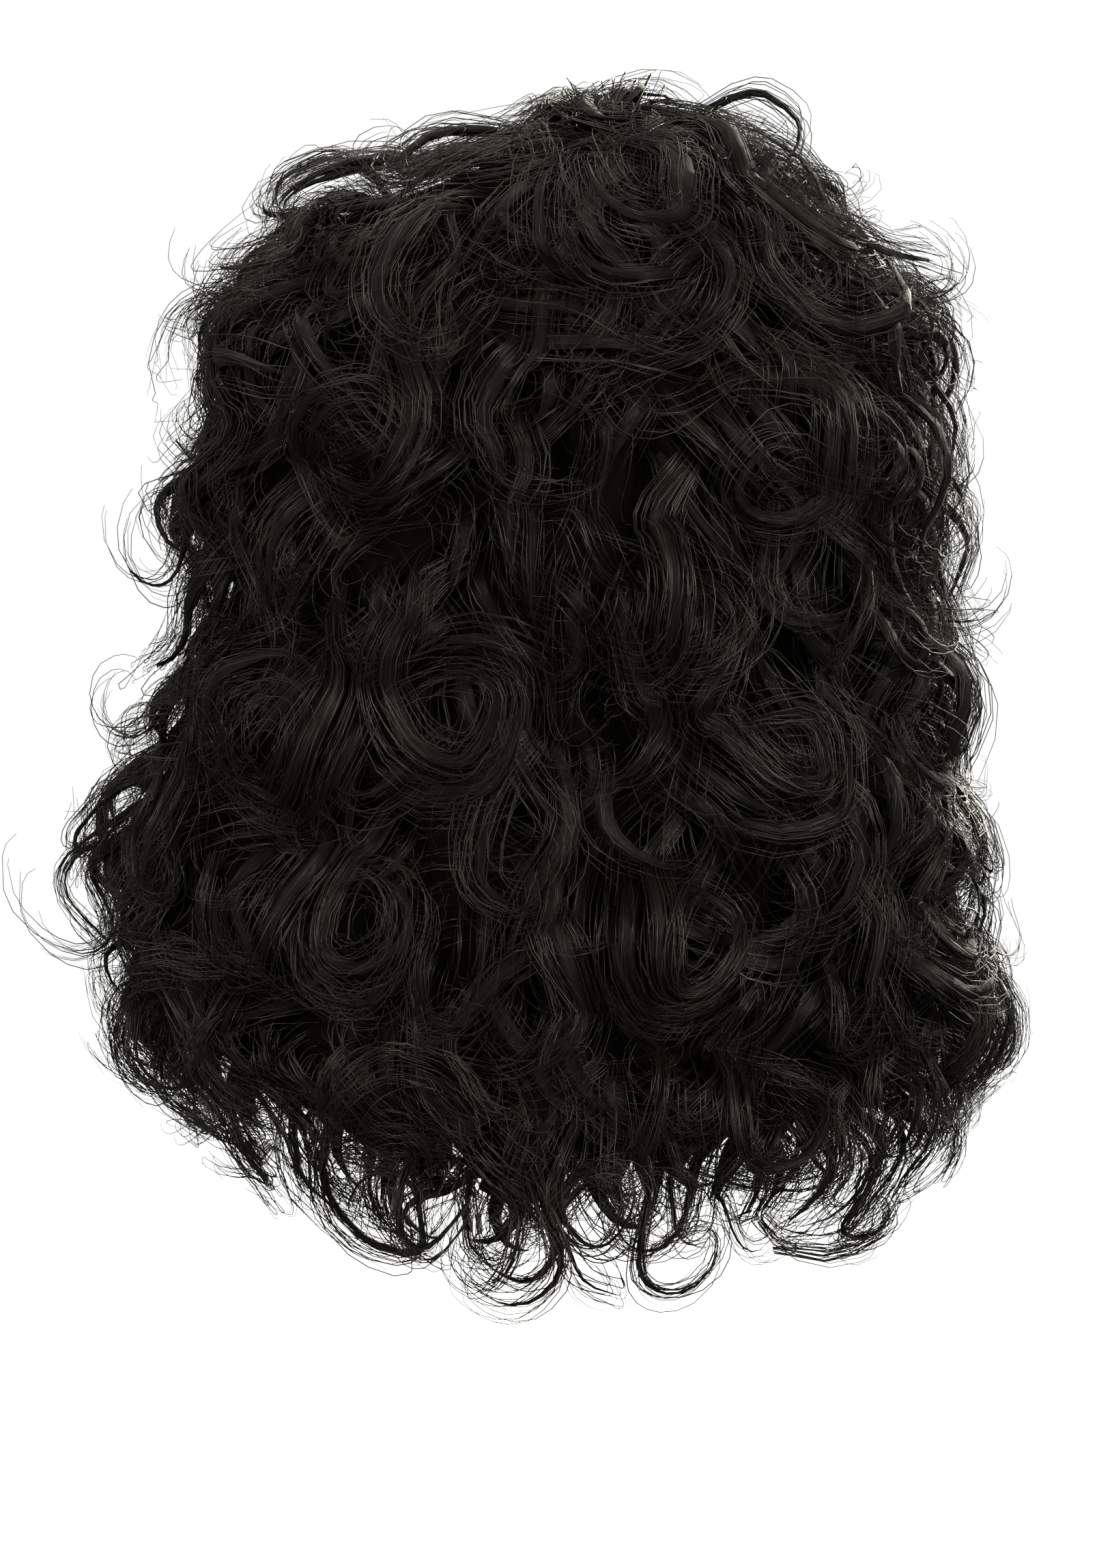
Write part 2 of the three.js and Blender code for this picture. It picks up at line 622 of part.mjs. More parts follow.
// Each piece stays clear of the other pieces' walls, and of the curls of those before it.
const cutters = HAIR_PIECES.map((piece) => ({
  wall: hairWall(piece, FIT_GAP),
  curls: hairCurls(piece, FIT_GAP),
}));
HAIR_PIECES.forEach((piece, i) => {
  const whole = hairWall(piece, 0).add(hairCurls(piece, 0));
  const walls = cutters.filter((_, k) => k !== i).map((other) => other.wall);
  const curls = cutters.slice(0, i).map((other) => other.curls);
  const cut = [...walls, ...curls].reduce((solid, other) => solid.subtract(other), whole);
  wig.add(meshOf(piece.name, mainBody(cut), HAIR_FIBRE));
});

export default wig;
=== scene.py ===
import math
import random

import bmesh
import bpy
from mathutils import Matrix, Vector
from mathutils.geometry import interpolate_bezier
from mathutils.kdtree import KDTree


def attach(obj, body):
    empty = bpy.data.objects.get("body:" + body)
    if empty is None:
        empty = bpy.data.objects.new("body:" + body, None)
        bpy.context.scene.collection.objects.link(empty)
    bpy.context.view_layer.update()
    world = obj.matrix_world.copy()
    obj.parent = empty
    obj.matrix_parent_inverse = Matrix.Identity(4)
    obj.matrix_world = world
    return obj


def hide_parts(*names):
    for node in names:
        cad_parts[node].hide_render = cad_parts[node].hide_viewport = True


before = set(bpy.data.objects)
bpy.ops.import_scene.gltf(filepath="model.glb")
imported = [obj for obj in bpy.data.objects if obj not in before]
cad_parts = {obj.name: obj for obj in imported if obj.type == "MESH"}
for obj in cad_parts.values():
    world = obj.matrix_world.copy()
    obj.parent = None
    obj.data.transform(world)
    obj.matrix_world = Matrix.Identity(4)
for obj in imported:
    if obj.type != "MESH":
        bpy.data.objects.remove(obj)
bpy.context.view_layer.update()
print("frame loaded:", len(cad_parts), "nodes")

mm = 0.001


def linear(hexColour):  # sRGB hex to the linear colour that sockets take
    parts = [int(hexColour[i : i + 2], 16) / 255 for i in (1, 3, 5)]
    return [p / 12.92 if p < 0.04045 else ((p + 0.055) / 1.055) ** 2.4 for p in parts] + [1.0]


def feed(tree, node, sockets):  # each takes a value, another node's socket, or a node for its first output
    for socket, source in sockets.items():
        if isinstance(source, bpy.types.Node):
            source = source.outputs[0]
        if isinstance(source, bpy.types.NodeSocket):
            tree.links.new(source, node.inputs[socket])
        else:
            node.inputs[socket].default_value = source


def addNode(tree, kind, sockets=None, **settings):
    node = tree.nodes.new(kind)
    for name, value in settings.items():
        setattr(node, name, value)
    feed(tree, node, sockets or {})
    return node


def addObject(name, data):
    made = bpy.data.objects.new(name, data)
    bpy.context.scene.collection.objects.link(made)
    return made


def addPiece(name, mesh):
    piece = addObject(name, mesh)
    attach(piece, "root")
    return piece


# Camera: straight at the back of the wig, as far off as a portrait is taken
camera = {"place": (0.0074, 2.4, -0.2148), "lens": 144.7, "sensor": 36}
cameraData = bpy.data.cameras.new("camera")
cameraData.lens = camera["lens"]
cameraData.sensor_width = camera["sensor"]
cameraObject = addObject("camera", cameraData)
cameraObject.location = camera["place"]
cameraObject.rotation_euler = (math.radians(90), 0, math.radians(180))
bpy.context.scene.camera = cameraObject


# The hair's form, the same as the solids': rows from the crown down, in mm. A level is a row's number
hairRows = [  # z, left, right, front, back
    (38, 0, 0, 0, 0),
    (32, 30, 48, 40, 44),
    (16, 74, 84, 78, 84),
    (-6, 112, 106, 102, 112),
    (-40, 136, 136, 110, 132),
    (-88, 138, 142, 106, 140),
    (-135, 138, 142, 98, 140),
    (-180, 148, 136, 92, 136),
    (-225, 166, 148, 90, 132),
    (-270, 174, 150, 90, 130),
    (-310, 154, 150, 92, 130),
    (-345, 124, 140, 92, 128),
    (-378, 98, 118, 90, 124),
]
innerRows = [  # z, side, front, back: the cap's outside, then the inside of the hair that hangs
    (2, 0, 0, 0),
    (-2, 28, 34, 36),
    (-15, 52, 64, 67),
    (-35, 68, 84, 87),
    (-61, 77, 95, 98),
    (-94, 81, 100, 103),
    (-129, 79, 98, 101),
    (-162, 88, 104, 92),
    (-215, 98, 104, 84),
    (-262, 106, 102, 82),
    (-302, 104, 100, 82),
    (-340, 96, 96, 84),
    (-374, 80, 92, 90),
]
hairHem = [(0, 12), (45, 11.5), (90, 10.4), (120, 9.6), (135, 5.05), (150, 4.3), (180, 3.95)]  # by azimuth
crownSwells = [  # mm up, the x of its middle, its reach in x and y: full right of the middle, low on the left
    (9, -28, 40, 60),
    (-11, 64, 38, 75),
]
swellFades = 4  # the level where the crown's swells end
lumps = {"behind": 0.06, "front": 0.03, "full": 3}  # shares of the reach; full from this level down


def rowAt(rows, level):
    i = max(0, min(int(math.floor(level)), len(rows) - 2))
    return [a + (b - a) * (level - i) for a, b in zip(rows[i], rows[i + 1])]


def tableAt(table, azimuth):  # the value between two rows of a table by azimuth, the same left and right
    turn = abs((azimuth + 180) % 360 - 180)
    for (a, start), (b, end) in zip(table, table[1:]):
        if turn <= b:
            return start + (end - start) * (turn - a) / (b - a)


def hemAt(azimuth):
    return tableAt(hairHem, azimuth)


def crownRise(x, y, level):
    rise = 0
    for up, middle, wide, deep in crownSwells:
        rise += up * math.exp(-(((x - middle) / wide) ** 2) - (y / deep) ** 2)
    return rise * max(0, 1 - level / swellFades)


def hairPoint(azimuth, level):  # azimuth 0 at the middle of the back, 90 at the left
    level = max(level, 0.1)
    z, left, right, front, back = rowAt(hairRows, level)
    turn = math.radians(azimuth)
    s, c = math.sin(turn), math.cos(turn)
    lump = math.sin(6 * turn + 1.3 * level) * math.sin(3.4 * level + 3 * turn)
    lump += 0.5 * math.sin(4.3 * level + 2 * turn)
    lump *= (lumps["behind"] if c > -0.3 else lumps["front"]) * min(1, level / lumps["full"])
    x, y = s * (left if s > 0 else right) * (1 + lump), c * (back if c > 0 else front) * (1 + lump)
    return Vector((x, y, z + crownRise(x, y, level))) * mm


def innerPoint(azimuth, level):
    z, side, front, back = rowAt(innerRows, level)
    s, c = math.sin(math.radians(azimuth)), math.cos(math.radians(azimuth))
    return Vector((s * side, c * (back if c > 0 else front), z)) * mm


# Places on the hair: each function gives a point, the ways left and out, and the mm to one of each coordinate
leastStep = {"degree": 0.4, "level": 8}  # mm, so that a lock near the crown's middle doesn't leap


def leftAndOut(left, up):
    return left.normalized(), up.cross(left).normalized()


def hairPlace(azimuth, level):
    left = hairPoint(azimuth + 0.5, level) - hairPoint(azimuth - 0.5, level)
    up = hairPoint(azimuth, level - 0.25) - hairPoint(azimuth, level + 0.25)
    perDegree = max(left.length / mm, leastStep["degree"])
    perLevel = max(2 * up.length / mm, leastStep["level"])
    return hairPoint(azimuth, level), *leftAndOut(left, up), perDegree, perLevel


def topPoint(x, y):  # the crown over a place in mm from the middle, its level found by halving
    low, high = 0.0, 4.6
    for _ in range(16):
        level = (low + high) / 2
        z, left, right, front, back = rowAt(hairRows, level)
        reach = (x / (left if x > 0 else right)) ** 2 + (y / (back if y > 0 else front)) ** 2
        low, high = (level, high) if reach > 1 else (low, level)
    return Vector((x, y, z + crownRise(x, y, level))) * mm


def topPlace(x, y):
    left = topPoint(x + 1, y) - topPoint(x - 1, y)
    up = topPoint(x, y - 1) - topPoint(x, y + 1)
    return topPoint(x, y), *leftAndOut(left, up), left.length / mm / 2, up.length / mm / 2


faceLine = {"top": 135, "corner": 120, "drop": 190}  # azimuths, and the mm that it hangs on past the corner


def faceEdge(side):  # the edge beside the face: mm across it and a share of the way down it
    def ends(along):
        azimuth = side * (faceLine["top"] + (faceLine["corner"] - faceLine["top"]) * min(along, 1))
        past = Vector((0, 0, -faceLine["drop"] * mm)) * max(0, along - 1)
        return hairPoint(azimuth, hemAt(azimuth)) + past, innerPoint(azimuth, hemAt(azimuth)) + past

    up = ends(0)[1] - ends(1)[1]

    def place(across, along):
        outside, inside = ends(along)
        left, out = leftAndOut((inside - outside) * side, up)
        return (outside + inside) / 2 + left * across * mm, left, out, 1, up.length / mm

    return place


def browEdge(azimuth, inward):  # the edge over the brow: degrees along it and a share of the way to the cap
    def at(turn, share):
        return hairPoint(turn, hemAt(turn)).lerp(innerPoint(turn, hemAt(turn)), share)

    left = at(azimuth + 1, inward) - at(azimuth - 1, inward)
    up = at(azimuth, 0) - at(azimuth, 1)
    return at(azimuth, inward), *leftAndOut(left, up), left.length / mm / 2, up.length / mm


# A lock is a path of stops, each with its half width across and half depth along the ridge of its broad side
lockStops = {"fine": 5, "length": 40, "turn": 0.47, "fewest": 6}  # points to a step; mm and radians to a stop
lockTaper = {"root": 0.45, "swell": 2, "tip": 0.6}  # narrow at the root and the tip


def lockFrom(path, faces, halfWidth, halfDepth, counts):
    fine, facing = [], []
    last = len(path) - 1
    for i in range(last):
        before, start, end, after = path[max(i - 1, 0)], path[i], path[i + 1], path[min(i + 2, last)]
        handles = start + (end - before) / 6, end - (after - start) / 6
        fine += interpolate_bezier(start, *handles, end, lockStops["fine"] + 1)[:-1]
        facing += [faces[i].lerp(faces[i + 1], step / lockStops["fine"]) for step in range(lockStops["fine"])]
    gone, passed = [0], [0]  # mm along it, and stops passed
    for before, here, after in zip(fine, fine[1:], fine[2:] + [path[-1]]):
        step, turn = (here - before).length / mm, (here - before).angle(after - here, 0)
        gone.append(gone[-1] + step)
        passed.append(passed[-1] + step / lockStops["length"] + turn / lockStops["turn"])
    stops = max(lockStops["fewest"], round(passed[-1]))
    points, j = [], 0
    for i in range(stops + 1):
        reached = passed[-1] * i / stops
        while j < len(fine) - 2 and passed[j + 1] < reached:
            j += 1
        part = min(1, (reached - passed[j]) / max(passed[j + 1] - passed[j], 1e-9))
        share = (gone[j] + (gone[j + 1] - gone[j]) * part) / gone[-1]
        along = (fine[j + 1] - fine[j]).normalized()
        across = along.cross(facing[j]).normalized()
        ridge = across.cross(along).normalized()
        full = min(1, lockTaper["root"] + lockTaper["swell"] * share) * (1 - lockTaper["tip"] * share**4)
        points.append({
            "place": fine[j].lerp(fine[j + 1], part), "share": share,
            "across": across * halfWidth * full * mm, "ridge": ridge * halfDepth * full * mm,
        })
    return {"points": points, "cores": counts[0], "strands": counts[1]}


# Ring curls, from a root under the hair down a tail and round, a few of them standing off the hair
ringCurl = {
    "width": 0.36, "depth": 0.2, "path": 0.7, "tail": 2.2,  # shares of the radius
    "lift": 12, "root": -12, "lowest": 3, "highest": 18,  # mm off the hair
    "closing": (0.08, 0.3), "stretch": (0.8, 1.15), "tipping": 0.6, "stops": 13, "fewest": 9,
    "tilt": (-0.6, 0.6), "nod": (-0.5, 0.7), "sag": (0, 0.4), "coil": (-3, 8),
}
standingCurl = {"turns": (0.6, 0.85), "stretch": (1.0, 1.35)}
thinCurl = {"width": 0.38, "strands": 15}  # drawn together where it stands or hangs
ringTail = [  # shares of the ring's radius, of the tail and of the lift
    (0.4, 0.86, -0.2),
    (0.75, 0.7, 0.3),
    (1.02, 0.5, 0.75),
    (1.1, 0.32, 0.95),
    (1.08, 0.14, 1),
]


def ringLock(rng, place, u, v, radius, hand, stand=0, lift=ringCurl["lift"], *, turns, loose=False):
    perU, perV = place(u, v)[3:]
    lean = math.radians(stand)
    pathRadius, tail = radius * ringCurl["path"], radius * ringCurl["tail"]
    turned = rng.uniform(*(standingCurl["turns"] if stand else turns))
    closing = rng.uniform(*ringCurl["closing"])
    stretch = rng.uniform(*(standingCurl["stretch"] if stand else ringCurl["stretch"]))
    tilt, nod, sag, coil = [rng.uniform(*ringCurl[name]) for name in ("tilt", "nod", "sag", "coil")]
    knots = [(0, tail, ringCurl["root"])]
    knots += [(wide * pathRadius, up * tail, out * lift) for wide, up, out in ringTail]
    stops = max(ringCurl["fewest"], int(ringCurl["stops"] * turned))
    for i in range(stops + 1):
        share = i / stops
        angle = -2 * math.pi * turned * share
        r = pathRadius * (1 - closing * share)
        across, up = r * math.cos(angle), r * math.sin(angle) * stretch - sag * radius * share
        tipped = min(1, 3 * share) * ringCurl["tipping"] * (tilt * (pathRadius - across) + nod * up)
        out = min(max(lift + tipped + coil * share, ringCurl["lowest"]), ringCurl["highest"])
        knots.append((across, up, out))
    path, faces = [], []
    for across, up, out in knots:
        point, left, outward = place(u + hand * across * math.cos(lean) / perU, v - up / perV)[:3]
        path.append(point + outward * (out + hand * across * math.sin(lean)) * mm)
        faces.append(outward * math.cos(lean) - left * math.sin(lean))
    thin = stand or loose
    width = radius * ringCurl["width"] * (thinCurl["width"] if thin else 1)
    counts = (1, thinCurl["strands"] if thin else radius)
    return lockFrom(path, faces, width, radius * ringCurl["depth"], counts)


# Hair that swirls into a ring curl from one side
swirl = {
    "locks": 2, "turns": (0.5, 0.8), "stops": 12, "lift": (9, 15), "strands": 14,
    "from": 1.5, "closing": 0.85, "width": 0.3, "depth": 0.16,  # shares of the curl's radius
}


def swirlLock(rng, place, u, v, radius, hand, lift, counts):
    perU, perV = place(u, v)[3:]
    start, turned = rng.uniform(0, 2 * math.pi), rng.uniform(*swirl["turns"])
    path, faces = [], []
    for i in range(swirl["stops"] + 1):
        share = i / swirl["stops"]
        angle = start - 2 * math.pi * turned * share
        r = radius * (swirl["from"] - swirl["closing"] * share)
        point, _, out = place(u + hand * r * math.cos(angle) / perU, v - r * math.sin(angle) / perV)[:3]
        path.append(point + out * (ringCurl["root"] + (lift - ringCurl["root"]) * min(1, 3 * share)) * mm)
        faces.append(out)
    return lockFrom(path, faces, radius * swirl["width"], radius * swirl["depth"], counts)


ringCentres = []  # of the curls that lie on the hair, with their radii, in metres
sinking = {"reach": 1.25, "depth": 5}  # in radii from a curl's middle, and in mm


def sunkAt(point):  # how far a wavy lock passes under the curls there, from 0 to 1
    sunk = 0
    for centre, radius in ringCentres:
        apart = (point - centre).length / radius
        if apart < sinking["reach"]:
            sunk = max(sunk, min(1, 2 * (sinking["reach"] - apart)))
    return sunk


# A lock that walks over the hair, waves to and fro and in and out, hooks round, and may flip up at its end
waving = {
    "period": (75, 115), "stops": 20, "flipStops": 30, "fewest": 6,  # mm to a wave, and stops to a lock
    "swell": 0.55, "dip": 0.45, "lead": 1.6,  # shares of its rise, and radians ahead of the wave
    "emerging": 3.5, "starting": 4,  # how fast it leaves its root and begins to wave
    "hooks": 0.3, "flips": 0.6, "bend": 1.5,  # shares of its way, and the power that the hook grows by
}


def waveLock(rng, place, u, v, length, wave, hook, halfWidth, rise, counts, *, ends,
             halfDepth=4, heading=0, root=-16, flip=0, over=False):
    phase, period = rng.uniform(0, 2 * math.pi), rng.uniform(*waving["period"]) / length
    stops = waving["flipStops"] if flip else waving["stops"]
    step = length / stops
    lifted = 0
    path, faces = [], []
    for i in range(stops + 1):
        share = i / stops
        point, left, out, perU, perV = place(u, v)
        down = left.cross(out)
        swing = 2 * math.pi * share / period + phase
        swell = waving["swell"] + waving["dip"] * math.sin(swing + waving["lead"])
        height = root + (rise * swell - root) * min(1, waving["emerging"] * share)
        sunk = 0 if over else sunkAt(point)
        height = height * (1 - sunk) - sinking["depth"] * sunk
        turn = heading + wave * math.sin(swing) * min(1, waving["starting"] * share)
        turn += hook * (max(0, share - waving["hooks"]) / (1 - waving["hooks"])) ** waving["bend"]
        rear = flip * max(0, share - waving["flips"]) / (1 - waving["flips"])
        ahead = down * math.cos(turn) + left * math.sin(turn)
        path.append(point + out * (height + lifted) * mm)
        faces.append(out * math.cos(rear) - ahead * math.sin(rear))
        lifted += step * math.sin(rear)
        u += math.sin(turn) * math.cos(rear) * step / perU
        v += math.cos(turn) * math.cos(rear) * step / perV
        if ends(u, v) and i > waving["fewest"]:
            break
    for _ in range(5):  # no kinks where it dips under a curl
        path[1:-1] = [(a + 2 * b + c) / 4 for a, b, c in zip(path, path[1:], path[2:])]
    return lockFrom(path, faces, halfWidth, halfDepth, counts)


def drawn(rng, kind):  # how one lock of a kind waves, hooks, spreads and rises
    shape = {"wave": rng.uniform(*kind["wave"])}
    hand = rng.choice(kind["hands"]) if "hands" in kind else 1
    shape["hook"] = hand * rng.uniform(*kind["hook"])
    spread = kind["halfWidth"]
    shape["halfWidth"] = rng.uniform(*spread) if isinstance(spread, tuple) else spread
    shape["rise"] = rng.uniform(*kind["rise"])
    return shape


# Finishes
def newMaterial(name):
    material = bpy.data.materials.new(name)
    material.use_nodes = True
    tree = material.node_tree
    return material, tree, tree.nodes["Principled BSDF"]


# Heat-curled synthetic fibre: drawn smooth, so each strand has a thin bright line along it
fibre = {"colours": ("#060504", "#211b14"), "roughness": 0.33, "specular": 0.47}
hairFibre, tree, surface = newMaterial("curled_black_fibre")
tint = addNode(tree, "ShaderNodeAttribute", attribute_name="tint")
ramp = addNode(tree, "ShaderNodeValToRGB", {"Fac": tint.outputs["Fac"]})
for stop, colour in zip(ramp.color_ramp.elements, fibre["colours"]):
    stop.color = linear(colour)
feed(tree, surface, {
    "Base Color": ramp, "Roughness": fibre["roughness"], "Specular IOR Level": fibre["specular"]})


def groovesWithPaintedShade(tree, surface, where, look):  # fibres side by side: grooves in relief, with painted shade darkening the bottom of each groove
    grooves = addNode(tree, "ShaderNodeTexNoise", {
        "Vector": where, "Scale": 1.0, "Detail": 3.0, **look["noise"]})
    bump = addNode(tree, "ShaderNodeBump", {
        "Height": grooves.outputs["Fac"], "Strength": look["strength"], "Distance": look["depth"] * mm})
    # Painted shade: the colour follows the groove height, darkest at the bottom of the grooves
    ramp = addNode(tree, "ShaderNodeValToRGB", {"Fac": grooves.outputs["Fac"]})
    for stop, position, colour in zip(ramp.color_ramp.elements, (0.35, 0.7), look["colours"]):
        stop.position = position
        stop.color = linear(colour)
    feed(tree, surface, {"Base Color": ramp, "Normal": bump, "Roughness": look["roughness"],
                         "Specular IOR Level": look["specular"]})


# The same fibre packed in the core of a lock, painted darker than the strands as painted shade inside the
# lock: grooves along it from 1.2 mm down, coarser than fibres are
core = {
    # painted shade: darker colours than the strand fibre's
    "colours": ("#030302", "#130f0b"), "roughness": 0.45, "specular": 0.2, "noise": {"Roughness": 0.8},
    "groove": 1.2, "run": 45, "halfWidth": 6, "depth": 1.0, "strength": 1.0,  # mm, and the share of its depth
    "lockApart": 60.0,  # grooves to one of tint, so that no two locks have the same
}
paintedShadeCoreFibre, tree, surface = newMaterial("curled_black_fibre_core_in_painted_shade")
axes = []
for attribute, scale in (
    ("lateral", core["halfWidth"] / core["groove"]),
    ("along", 1 / (core["run"] * mm)),
    ("tint", core["lockApart"]),
):
    fac = addNode(tree, "ShaderNodeAttribute", attribute_name=attribute).outputs["Fac"]
    axes.append(addNode(tree, "ShaderNodeMath", {0: fac, 1: scale}, operation="MULTIPLY"))
where = addNode(tree, "ShaderNodeCombineXYZ", dict(enumerate(axes)))
groovesWithPaintedShade(tree, surface, where, core)

# The same fibre packed under the locks and inside them: combed grooves 1.6 mm apart. Under the locks, out of
# the light, its colours are darkened as painted shade; inside it is about as dark as the strands
packed = {"groove": 1.6, "run": 60, "depth": 0.8, "strength": 0.8, "roughness": 0.85, "specular": 0.06,
          "noise": {"Distortion": 0.4}}
packedFinishes = []
for name, colours in (
    # painted shade: darker than the fibre, for the wall under the locks
    ("packed_black_fibre", ("#030302", "#0b0907")),
    ("packed_black_fibre_inside", ("#080706", "#231d17")),
):
    material, tree, surface = newMaterial(name)
    where = addNode(tree, "ShaderNodeUVMap", uv_map="comb")
    combed = addNode(tree, "ShaderNodeMapping", {
        "Vector": where, "Scale": (1 / packed["groove"], 1 / packed["run"], 1)})
    groovesWithPaintedShade(tree, surface, combed, {**packed, "colours": colours})
    packedFinishes.append(material)

print("finishes made")


# Strands or flat ribbons of a lock, spread over its width and depth, twisted along it and frizzed
strandInputs = {
    "Geometry": ["Geometry"],
    "Float": ["Width", "Lock Width", "Flatness", "Spread", "Height", "Drift", "Frizz", "Frizz Scale", "Stray",
              "Longest", "Ragged Ends", "Tip Width"],
    "Int": ["Sides", "Seed"],
    "Material": ["Finish"],
}
pathAttributes = {"across": "FLOAT_VECTOR", "ridge": "FLOAT_VECTOR", "share": "FLOAT", "count": "INT"}
strandChances = {  # what each strand draws for itself, between two values
    "beside": (-1.0, 1.0),
    "above": (-0.1, 1.4),
    "tint": (0.0, 1.0),
    "cut": (0.0, 1.0),
    "drift": (-1.0, 1.0),
}
strandSums = [  # result, operation, and values by name or number
    ("spreadOut", "MULTIPLY", "beside", "Spread"),
    ("ownDrift", "MULTIPLY", "drift", "Drift"),
    ("drifted", "MULTIPLY", "ownDrift", "share"),
    ("sideways", "ADD", "spreadOut", "drifted"),
    ("besideSquared", "MULTIPLY", "beside", "beside"),
    ("dome", "SUBTRACT", 1.05, "besideSquared"),  # strands lie over the lock's outer side
    ("domed", "SQRT", "dome"),
    ("raised", "MULTIPLY", "above", "domed"),
    ("outwards", "MULTIPLY", "raised", "Height"),
    ("looser", "ADD", "share", 0.35),
    ("loose", "MULTIPLY", "Frizz", "looser"),
    ("astray", "MULTIPLY", "Stray", "share"),
    ("evenEnd", "SUBTRACT", 1.0, "Ragged Ends"),
    ("raggedEnd", "MULTIPLY", "cut", "Ragged Ends"),
    ("bothEnds", "ADD", "evenEnd", "raggedEnd"),
    ("length", "MULTIPLY", "Longest", "bothEnds"),
    ("late", "POWER", "progress", 2.0),
    ("taper", "SUBTRACT", 1.0, "Tip Width"),
    ("tapered", "MULTIPLY", "late", "taper"),
    ("thinning", "SUBTRACT", 1.0, "tapered"),
    ("cutWidth", "MULTIPLY", "cut", 0.6),
    ("varied", "ADD", 0.7, "cutWidth"),
    ("ofLock", "MULTIPLY", "lockHalf", "Lock Width"),
    ("halfWidth", "MULTIPLY", "Width", 0.5),
    ("broad", "ADD", "halfWidth", "ofLock"),
    ("uneven", "MULTIPLY", "thinning", "varied"),
    ("radius", "MULTIPLY", "broad", "uneven"),
]
strandMoves = [  # the same for vectors
    ("besideLock", "SCALE", "across", "sideways"),
    ("offLock", "SCALE", "ridge", "outwards"),
    ("spread", "ADD", "besideLock", "offLock"),
    ("strayed", "SCALE", "aside", "astray"),
    ("laid", "ADD", "spread", "strayed"),
    ("centred", "SUBTRACT", "frizz", (0.5, 0.5, 0.5)),
    ("frizzed", "SCALE", "centred", "loose"),
    ("offset", "ADD", "laid", "frizzed"),
]


